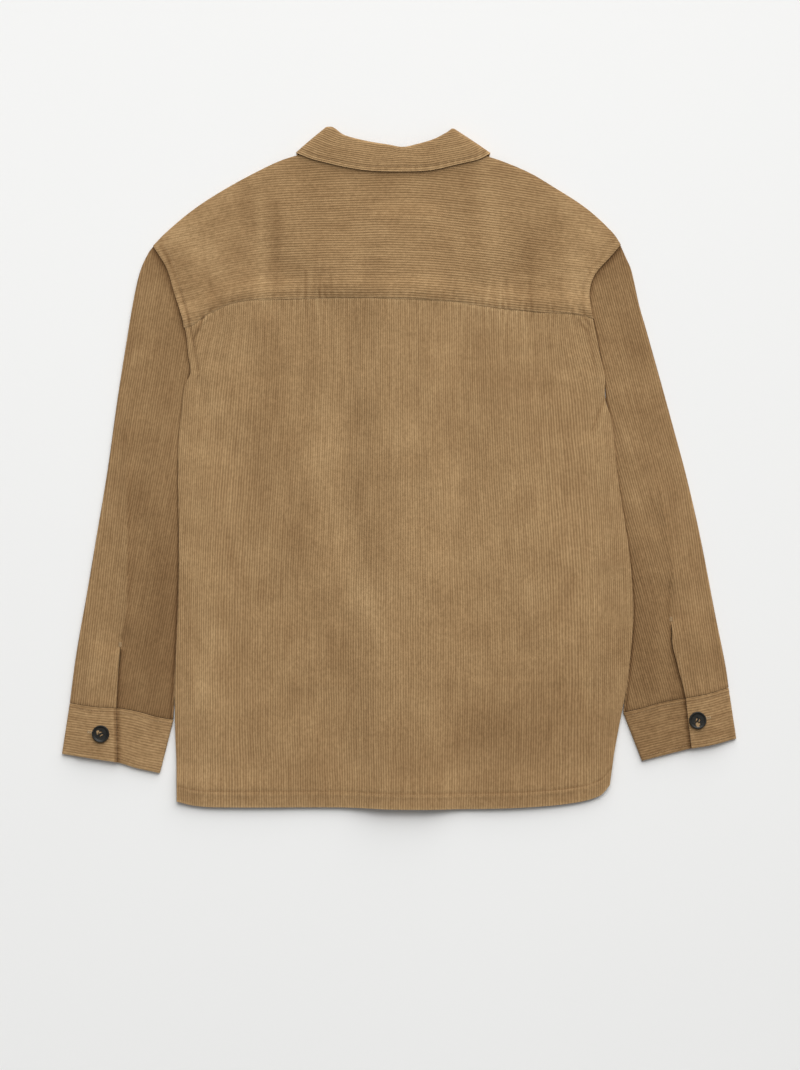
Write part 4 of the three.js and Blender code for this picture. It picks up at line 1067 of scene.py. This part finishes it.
def cuffPlace(arm):
    top, foot = curve(arm["seam"]), curve(arm["edge"])
    return lambda w, q: mix(top(w), foot(w), np.asarray(q)[..., None] if np.ndim(q) else q)


cuff = {"deep": 54, "rows": 27, "lap": 22, "stitch": 4.2, "stitchIn": 0.036}


def flapEdge(arm, q):
    return mix(arm["slitEnd"], arm["foot"], q)


def dressCuff(arm):
    place, tones = cuffPlace(arm), arm["tones"]
    drawn = puckerRow(0.03, 0.97, lambda w: 0.24)
    pulls = [(at, 0, 0.02, reach * 0.5, force) for at, _, _, reach, force in drawn]
    down = np.linspace(0, 1, cuff["rows"])
    grid, widths = [], []
    for q in down:
        width = float(gapLength(place(0.0, q), place(1.0, q)))
        near = min(q, 1 - q) * cuff["deep"]
        opening = float(flapEdge(arm, q))

        def plain(w):
            w = np.asarray(w)
            waves = puckerWave(pulls, w, q * cuff["deep"]) + 0.12 * np.sin(w * 23 + q * 3)
            stitchLine = -0.25 * bell(near - 4, 1.0)
            return (waves + stitchLine) * np.clip(np.minimum(w, 1 - w) * 12, 0, 1)

        w, z = ringStations(width, cuffBottom, cloth["cuffThick"], opening, opening + cuff["lap"] / width,
                            lambda w: flapHeight(w) + np.maximum(plain(w), -0.2),
                            lambda w: cuffTop + 0.3 * plain(w), cuffCounts)
        grid.append(np.column_stack([place(w, q), z, w]))
        widths.append(width)
    grid, widths = np.array(grid), np.array(widths)
    outerColumns = cuffCounts["outer"] + cuffCounts["fold"] // 2
    innerColumns = grid.shape[1] - cuffCounts["inner"] - 2

    def wales(i, j, at):
        return down[j] * cuff["deep"] * 1.04, at[:, 0]

    def tone(x, y, i, j):
        w, q, width = grid[j, i, 3], down[j], widths[j]
        fromFlap = (flapEdge(arm, q) - w) * width
        deep, wide, onto = arm["flapShade"]
        ticks = 1 + 0.35 * np.sin(q * cuff["deep"] * 2.1 + 1.4 * np.sin(q * 19))
        # painted shade beside the flap's edge and on the flap's margin
        shaded = deep * ticks * bell(np.maximum(fromFlap, 0), wide) * (i > innerColumns)
        shaded = shaded + 0.36 * ticks * fall(-fromFlap - onto + 1, 1.5) * (onto > 0) * (i < outerColumns)
        # painted highlight along the flap's edge
        rim = 0.07 * bell(fromFlap + onto + 2.5, 1.8) * (i < outerColumns)
        near = np.minimum(q, 1 - q) * cuff["deep"]
        # painted shade along the stitch rows and at the cuff seam
        paintedSeamShading = 0.10 * bell(near - cuff["stitch"], 1.0) + 0.10 * bell(q * cuff["deep"], 1.6)
        # painted light and shade of small puckers by the cuff seam
        puckerShading = 0.10 * np.sin(w * 61 + 2 * np.sin(w * 17)) * np.exp(-q * cuff["deep"] / 9)
        # painted light on the cuff's bottom edge and its ends, against their shade
        wearAndPaintedLight = 0.34 * bell(near, 1.3) * (q > 0.5) + 0.3 * bell(np.minimum(w, 1 - w) * width, 1.4)
        patches = 0.05 * np.sin(x / 5.3 + 2 * np.sin(y / 9)) * np.sin(y / 6.1 + 1.7 * np.sin(x / 13))
        ground = np.where(i <= outerColumns, tones["flap"], tones["cuff"])
        return ground + rim + wearAndPaintedLight + patches + puckerShading * 0.6 - shaded - paintedSeamShading

    piece = clothPiece(f"cuff{arm['name'].title()}", np.linspace(0, 1, grid.shape[1]), down, gridded(grid),
                       wales, tone, cloth["cuffThick"], rim=0.45, ribs=lambda x, y: 0.62)
    dress(piece, yokeCloth, [f"cuff_{arm['name']}"])


for arm in arms:
    dressCuff(arm)
print("cuffs done")


# Collar: stand, roll and leaf in one cloth
collar = {"centre": 6.5, "stand": 2.0, "standSteps": 8, "rollSteps": 12, "leafSteps": 22, "along": 190,
          "stitch": 5.5}
rollRadius = (cloth["collarThick"] + cloth["seamGap"]) / 2
leafOut = collar["stand"] + 2 * rollRadius
sectionKnots = np.arange(len(collarSections))
sectionRuns = [smoothRun(sectionKnots, [row[k] for row in collarSections]) for k in range(8)]


def collarFacing(at):  # which way the outer side of the leaf faces there
    turn = min(max(float(sectionRuns[0](at)), -1), 1)
    return np.array([math.copysign(math.sqrt(1 - turn * turn), float(sectionRuns[1](at))), 0, turn])


def collarSection(at):
    outward = collarFacing(at)
    sideways, _, turn = outward
    ends = [float(run(at)) for run in sectionRuns[2:]]
    seam, roll, edge = (np.array([*ends[k:k + 2], 0.0]) for k in (0, 2, 4))
    rise = roll - (seam + edge) / 2
    rise = rise / np.linalg.norm(rise)
    thick = cloth["collarThick"]

    def level(base, out):
        aside = (out - leafOut - thick / 2) * sideways
        return np.array([base[0] + aside, base[1], collar["centre"] + out * turn])

    centre = level(roll - rise * (rollRadius + thick / 2), collar["stand"] + rollRadius)
    seamAt = level(seam, collar["stand"])
    seamAt[0] = seam[0]
    points = [mix(seamAt, centre - outward * rollRadius, f)
              for f in np.linspace(0, 1, collar["standSteps"] + 1)[:-1]]
    for f in np.linspace(0, 1, collar["rollSteps"] + 1):
        around = -outward * math.cos(math.pi * f) + rise * math.sin(math.pi * f)
        points.append(centre + around * rollRadius)
    leafStart, leafEnd = centre + outward * rollRadius, level(edge, leafOut)
    length = np.linalg.norm(leafEnd - leafStart)
    for f in np.linspace(0, 1, collar["leafSteps"] + 1)[1:]:
        point = mix(leafStart, leafEnd, f)
        swell = 0.5 * math.sin(math.pi * f) * (1 if turn > 0 else 0)
        stitchLine = 0.28 * bell((1 - f) * length - collar["stitch"], 1.0)
        points.append(point + outward * (swell - stitchLine * (1 if turn > 0 else 0)))
    return np.array(points)


collarAlong = np.linspace(0, len(collarSections) - 1, collar["along"])
collarGrid = np.array([collarSection(at) for at in collarAlong])
collarLengths = np.concatenate([np.zeros((len(collarGrid), 1)), np.cumsum(
    np.linalg.norm(np.diff(collarGrid, axis=1), axis=2), axis=1)], axis=1)
collarRun = np.concatenate([[0], np.cumsum(np.linalg.norm(np.diff(collarGrid[:, -1], axis=0), axis=1))])


def collarWales(i, j, at):
    return collarLengths[j, -1] - collarLengths[j, i], collarRun[j]


def collarTone(x, y, i, j):
    fromEdge = collarLengths[j, -1] - collarLengths[j, i]
    # painted shade along the stitch row
    paintedSeamShading = 0.22 * bell(fromEdge - collar["stitch"], 1.0)
    # painted highlight near the edge
    rim = 0.07 * bell(fromEdge - 2.4, 1.8)
    # painted light and shade on small puckers by the stitch row
    wearAndPaintedLight = 0.15 * np.sin(x / 1.3 + 3 * np.sin(x / 11)) * np.exp(-np.abs(fromEdge - 4) / 5)
    # painted light on the edge, against the shade of its rounded rim
    edge = 0.3 * bell(fromEdge, 1.2)
    return 1.07 + rim + wearAndPaintedLight + edge - paintedSeamShading


collarPiece = clothPiece("collarCloth", np.linspace(0, 1, collarGrid.shape[1]),
                         np.linspace(0, 1, len(collarAlong)), gridded(collarGrid), collarWales, collarTone,
                         cloth["collarThick"], rim=0.35)
dress(collarPiece, yokeCloth, ["collar"])
print("collar done")


# Buttons: one is modelled, the others are copies
buttonSize = {"radius": 9.5, "thick": 3.0, "rim": 1.5, "slope": 1.1, "dish": 0.9, "floor": 0.6, "soft": 0.55,
              "hole": 1.1, "holeAt": 2.3}


def hornFinish(name, spot=None):
    net = Net(name)
    place = net.place()
    streak = net.node("ShaderNodeMapping", None, {0: place, 3: (1.0, 4.0, 1.0)})
    cloud, fine = net.noise(streak, 160.0, 5.0), net.noise(place, 2400.0, 2.0)
    base = net.colours((0.008, 0.008, 0.007, 1), (0.036, 0.032, 0.024, 1), cloud ** 2.2)
    if spot:  # the pale patch on this button
        x, y, wide, tall = (value * mm for value in spot)
        where = net.node("ShaderNodeMapping", {"vector_type": "TEXTURE"},
                         {0: place, 1: (x, y, 0), 3: (wide, tall, 1)})
        near = net.node("ShaderNodeVectorMath", {"operation": "LENGTH"}, {0: where}, 1)
        edge = net.node("ShaderNodeMapRange", {"interpolation_type": "SMOOTHSTEP"},
                        {0: near + (cloud - 0.5) * 1.2, 1: 0.6, 2: 1.1, 3: 1.0, 4: 0.0})
        base = net.colours(base, (0.42, 0.27, 0.13, 1), edge * 0.85)
    bump = net.bump(fine, 0.3, 0.05 * mm)
    return net.finish(**{"Base Color": base, "Roughness": cloud * 0.2 + 0.34, "Normal": bump,
                         "Specular IOR Level": 0.28})


def threadFinish(name, colour):
    net = Net(name)
    place = net.place()
    ply = net.noise(place, 3000.0, 2.0)
    base = net.colours(tuple(c * 0.7 for c in colour[:3]) + (1,), colour, ply)
    bump = net.bump(ply, 0.6, 0.1 * mm)
    return net.finish(**{"Base Color": base, "Roughness": 0.8, "Normal": bump})


horn = hornFinish("darkHorn")
tanThread = threadFinish("tanThread", (0.40, 0.262, 0.132, 1))
paleThread = threadFinish("paleThread", (0.52, 0.37, 0.21, 1))


def firstButton():
    size = buttonSize
    deselectAll()
    bpy.ops.mesh.primitive_cylinder_add(vertices=56, radius=size["radius"] * mm, depth=size["thick"] * mm,
                                        location=(0, 0, size["thick"] * mm / 2))
    made = bpy.context.active_object
    bpy.ops.object.transform_apply(location=True)
    bpy.ops.object.mode_set(mode="EDIT")
    bpy.ops.mesh.select_all(action="DESELECT")
    bpy.ops.object.mode_set(mode="OBJECT")
    for face in made.data.polygons:
        face.select = face.normal.z > 0.9
    bpy.ops.object.mode_set(mode="EDIT")
    bpy.ops.mesh.select_mode(type="FACE")
    bpy.ops.mesh.inset(thickness=size["rim"] * mm)
    bpy.ops.mesh.inset(thickness=size["slope"] * mm)
    bpy.ops.transform.translate(value=(0, 0, -size["dish"] * mm))
    bpy.ops.mesh.inset(thickness=size["floor"] * mm)
    bpy.ops.object.mode_set(mode="OBJECT")
    soften(made, size["soft"] * mm, 4, 35)
    for k in range(4):
        angle = math.radians(45 + 90 * k)
        deselectAll()
        bpy.ops.mesh.primitive_cylinder_add(
            vertices=20, radius=size["hole"] * mm, depth=4 * size["thick"] * mm,
            location=(size["holeAt"] * mm * math.cos(angle), size["holeAt"] * mm * math.sin(angle), 0))
        drill = bpy.context.active_object
        bpy.ops.object.transform_apply(location=True)
        useModifier(made, "BOOLEAN", object=drill, operation="DIFFERENCE", solver="EXACT")
        bpy.data.objects.remove(drill)
    bpy.ops.object.shade_smooth_by_angle(angle=math.radians(35))
    return made


def stitchForm():
    deselectAll()
    bpy.ops.mesh.primitive_cylinder_add(vertices=6, radius=1, depth=1)
    form = bpy.context.active_object
    bpy.ops.object.mode_set(mode="EDIT")
    bpy.ops.mesh.select_all(action="SELECT")
    bpy.ops.transform.rotate(value=math.pi / 2, orient_axis="Y", center_override=(0, 0, 0))
    bpy.ops.object.mode_set(mode="OBJECT")
    soften(form, 0.35, 1, 50)
    shape = np.array([tuple(v.co) for v in form.data.vertices])
    faces = [list(p.vertices) for p in form.data.polygons]
    bpy.data.objects.remove(form)
    return shape, faces


stitchShape, stitchFaces = stitchForm()
stitch = {"length": 2.5, "pitch": 3.3, "thick": 0.27, "sink": 0.14}


def unit(vector):
    return vector / max(np.linalg.norm(vector), 1e-6)


def stitchFrames(path, up=1):  # of each stitch its place and its three directions
    path = np.asarray(path, float)
    run = np.concatenate([[0], np.cumsum(np.linalg.norm(np.diff(path, axis=0), axis=1))])
    frames = []
    for at in np.arange(stitch["pitch"] / 2, run[-1], stitch["pitch"]):
        behind, place, ahead = (np.array([np.interp(spot, run, column) for column in path.T])
                                for spot in (max(at - 1, 0), at, min(at + 1, run[-1])))
        along = unit(ahead - behind)
        aside = unit(np.cross([0, 0, 1.0], along))
        place = place - np.array([0, 0, stitch["sink"] * up])
        thick = stitch["thick"]
        frames.append((place, [along * stitch["length"], aside * thick, np.cross(along, aside) * thick]))
    return frames


def sew(name, frames, thread=tanThread):  # one mesh of all the stitches
    count = len(stitchShape)
    corners = np.concatenate([at + shift + stitchShape @ np.array(axes) for at, axes in frames]) * mm
    faces = [[index + k * count for index in face] for k in range(len(frames)) for face in stitchFaces]
    mesh = bpy.data.meshes.new(name)
    mesh.from_pydata(corners.tolist(), [], faces)
    mesh.update()
    mesh.polygons.foreach_set("use_smooth", [True] * len(faces))
    piece = bpy.data.objects.new(name, mesh)
    bpy.context.collection.objects.link(piece)
    mesh.materials.append(thread)
    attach(piece, "root")


def onFace(points, side):  # moves points from the cloth's middle to its upper or under face
    x, y, z = points
    return np.stack(np.broadcast_arrays(x, y, z + side * half), -1)


def rowOver(middle, us, vs, count, side=1):
    return stitchFrames(onFace(middle(np.linspace(*us, count), np.linspace(*vs, count)), side), side)


def hemRow(middle, start, end, side=1):
    u, v = np.linspace(start, end, 300), np.full(300, 1 - (hem["depth"] - hem["stitchIn"]) / 548)
    for _ in range(4):
        x, y, _z = middle(u, v)
        v = v + (aboveHem(x, y) + hem["stitchIn"]) / back["depth"]
    return stitchFrames(onFace(middle(u, v), side), side)


def cuffRow(arm, w, q, z):
    w, q, z = np.broadcast_arrays(w, q, z)
    return stitchFrames(np.column_stack([cuffPlace(arm)(w, q), z]))


# Rows of stitching
seamRowAt, nearLeft, nearRight = 1 - 2.2 / 165, seamEdge["stitch"] / 480, 1 - seamEdge["stitch"] / 460
sew("yokeStitches", rowOver(yokeMiddle, (0.004, 0.996), (seamRowAt, seamRowAt), 260))
armRows = []
for u, foot in ((nearLeft, 0.10), (nearRight, 0.155)):
    armRows += rowOver(yokeMiddle, (u, u), (0.08, 0.985), 80)
    armRows += rowOver(backMiddle, (u, u), (0.018, foot), 60)
sew("armholeStitches", armRows)
sew("hemStitches", hemRow(backMiddle, 0.004, 0.996) + hemRow(frontShapes[-1], 0.01, 0.86, -1)
    + hemRow(frontShapes[1], 0.16, 0.99, -1))

collarOut = cloth["collarThick"] / 2 + 0.02
leafPath = []
for section, lengths, at in zip(collarGrid, collarLengths, collarAlong):
    point = np.array([np.interp(lengths[-1] - collar["stitch"], lengths, column) for column in section.T])
    leafPath.append(point + collarFacing(at) * collarOut)
collarRows = stitchFrames(leafPath[3:-3])
for row in (3, len(collarGrid) - 4):
    leaf = collarGrid[row][collar["standSteps"] + collar["rollSteps"] + 2:-4]
    collarRows += stitchFrames(leaf - np.array([0, 0, collarOut]))
sew("collarStitches", collarRows)

cuffHalf = cloth["cuffThick"] / 2
rowEnds = cuff["stitch"] / cuff["deep"], 1 - cuff["stitch"] / cuff["deep"]
for arm in arms:
    rows = []
    for q in rowEnds:
        edge = float(flapEdge(arm, q))
        onFlap = np.linspace(edge + cuff["stitchIn"], 0.965, 60)
        rows += cuffRow(arm, onFlap, q, flapHeight(onFlap) + cuffHalf - 0.22)
        rows += cuffRow(arm, np.linspace(0.035, edge - 0.012, 60), q, cuffTop + cuffHalf - 0.02)
    q = np.linspace(*rowEnds, 30)
    rows += cuffRow(arm, flapEdge(arm, q) + cuff["stitchIn"], q, cuffFlap + cuffHalf)
    grid, down, _ = sleeveGrids[arm["name"]]
    cut = slitRow(arm, down)
    rows += stitchFrames(grid[cut:, 2, :3] + np.array([0, 0, half]))
    tack = grid[cut, 0, :3] + np.array([0, 1.0, half + 0.05])
    rows += [(tack + np.array([0, 0.55 * k, 0]), np.diag([3.6, 0.34, 0.3])) for k in range(9)]
    sew(f"cuffStitches{arm['name'].title()}", rows)

bandRows = [rowOver(bandMiddle, (u, u), (0.004, 0.996), 200, -1) for u in (0.09, 0.91)]
sew("bandStitches", bandRows[0] + bandRows[1])


# Buttonholes: close stitches across a line, along both its sides and across both ends
def buttonhole(at, along, length):
    aside = np.array([-along[1], along[0], 0.0])
    thin = np.array([0, 0, 0.3])
    frames = []
    for side in (-1, 1):
        for step in np.arange(-length / 2, length / 2, 0.42):
            frames.append((at + along * step + aside * side * 0.85, [aside * 1.3, along * 0.24, thin]))
        for step in np.arange(-1.3, 1.31, 0.42):
            end = at + along * side * (length / 2 + 0.4)
            frames.append((end + aside * step, [along * 1.3, aside * 0.24, thin]))
    return frames


frontSpots = [(closure["x"], closure["firstButton"] + k * closure["pitch"])
              for k in range(closure["buttons"])]
holes = []
for arm in arms:
    along = np.subtract(arm["seam"][-1], arm["seam"][0])
    along = np.array([*along / np.hypot(*along), 0.0])
    holes += buttonhole(np.array([*arm["button"], cuffFlap + cuffHalf]) + along * 3.4, along, 21)
for x, y in frontSpots:
    z = float(frontLeftHeight(x, y)) - layer - half
    holes += buttonhole(np.array([x, y, z]), np.array([0, 1.0, 0]), 22)
sew("buttonholes", holes, paleThread)


# Buttons and their thread
def addButton(node, at, turn, axis, finish=horn):
    piece = model.copy()
    piece.data = model.data.copy()
    bpy.context.collection.objects.link(piece)
    piece.data.transform(Matrix.Translation(Vector((at + shift) * mm)) @ Matrix.Rotation(turn, 4, axis))
    piece.name = piece.data.name = node.replace("_", "") + "Horn"
    piece.data.materials.clear()
    piece.data.materials.append(finish)
    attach(piece, "root")
    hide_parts(node)


def threadBars(at, turn, up):
    size = buttonSize
    turned = np.array(Matrix.Rotation(turn, 3, "Z")).T
    top = at + np.array([0, 0, up * (size["thick"] - size["dish"] + 0.15)])
    aside = [side * size["holeAt"] * 0.707 + spread for side in (-1, 1) for spread in (-0.28, 0.28)]
    return [(top + step * turned[1], np.diag([3.4, 0.3, 0.34]) @ turned) for step in aside]


model = firstButton()
threads = []
for arm in arms:
    name, turn = arm["name"], arm["buttonTurn"]
    x, y, wide, tall = arm["palePatch"]
    at = np.array([*arm["button"], cuffFlap + cuffHalf + cloth["seamGap"]])
    finish = hornFinish(f"{name}CuffHorn", (x + shift[0], y + shift[1], wide, tall))
    addButton(f"cuff_button_{name}", at, turn, "Z", finish)
    threads += threadBars(at, turn, 1)
for k, spot in enumerate(frontSpots):
    at = np.array([*spot, closure["buttonThick"]])
    addButton(f"front_button_{k + 1}", at, math.pi, "X")
    threads += threadBars(at, 0.0, -1)
bpy.data.objects.remove(model)
sew("buttonThread", threads)
print("sewing and buttons done")


# Floor, light and camera
studio = {"world": 0.25, "key": 2.82, "keyWide": 70, "top": 41.9}


def floorFinish():
    net = Net("paleFloor")
    place = net.place()
    cloud = net.noise(place, 1.6, 1.0)
    base = net.colours((0.84, 0.84, 0.83, 1), (0.86, 0.86, 0.85, 1), cloud)
    return net.finish(**{"Base Color": base, "Roughness": 0.9})


deselectAll()
bpy.ops.mesh.primitive_plane_add(size=14, location=(0, 0, 0))
floor = bpy.context.active_object
floor.name = "studioFloor"
floor.data.materials.append(floorFinish())

world = bpy.data.worlds.new("studioWorld")
bpy.context.scene.world = world
world.use_nodes = True
world.node_tree.nodes["Background"].inputs["Color"].default_value = (1.0, 1.0, 1.0, 1)
world.node_tree.nodes["Background"].inputs["Strength"].default_value = studio["world"]


def softLight(name, kind, place, power):
    deselectAll()
    bpy.ops.object.light_add(type=kind, location=place)
    lamp = bpy.context.active_object
    lamp.name = name
    lamp.data.energy = power
    lamp.rotation_mode = "QUATERNION"
    lamp.rotation_quaternion = (-Vector(place)).to_track_quat("-Z", "Y")
    return lamp.data


softLight("keyLight", "SUN", (0.9, 3.2, 1.9), studio["key"]).angle = math.radians(studio["keyWide"])
topLight = softLight("topLight", "AREA", (0.0, 1.3, 3.0), studio["top"])
topLight.shape, topLight.size, topLight.size_y = "RECTANGLE", 1.6, 1.6

lens = {"long": 85.0, "sensor": 36.0, "fieldHeight": 1.177, "aim": (0.0007, -0.0722), "cloth": 0.006}
distance = lens["long"] / lens["sensor"] * lens["fieldHeight"] + lens["cloth"]
deselectAll()
bpy.ops.object.camera_add(location=(lens["aim"][0], lens["aim"][1], distance), rotation=(0, 0, 0))
camera = bpy.context.active_object
camera.data.lens = lens["long"]
camera.data.sensor_width = lens["sensor"]
bpy.context.scene.camera = camera
bpy.context.scene.view_settings.view_transform = "Standard"

print("scene ready")
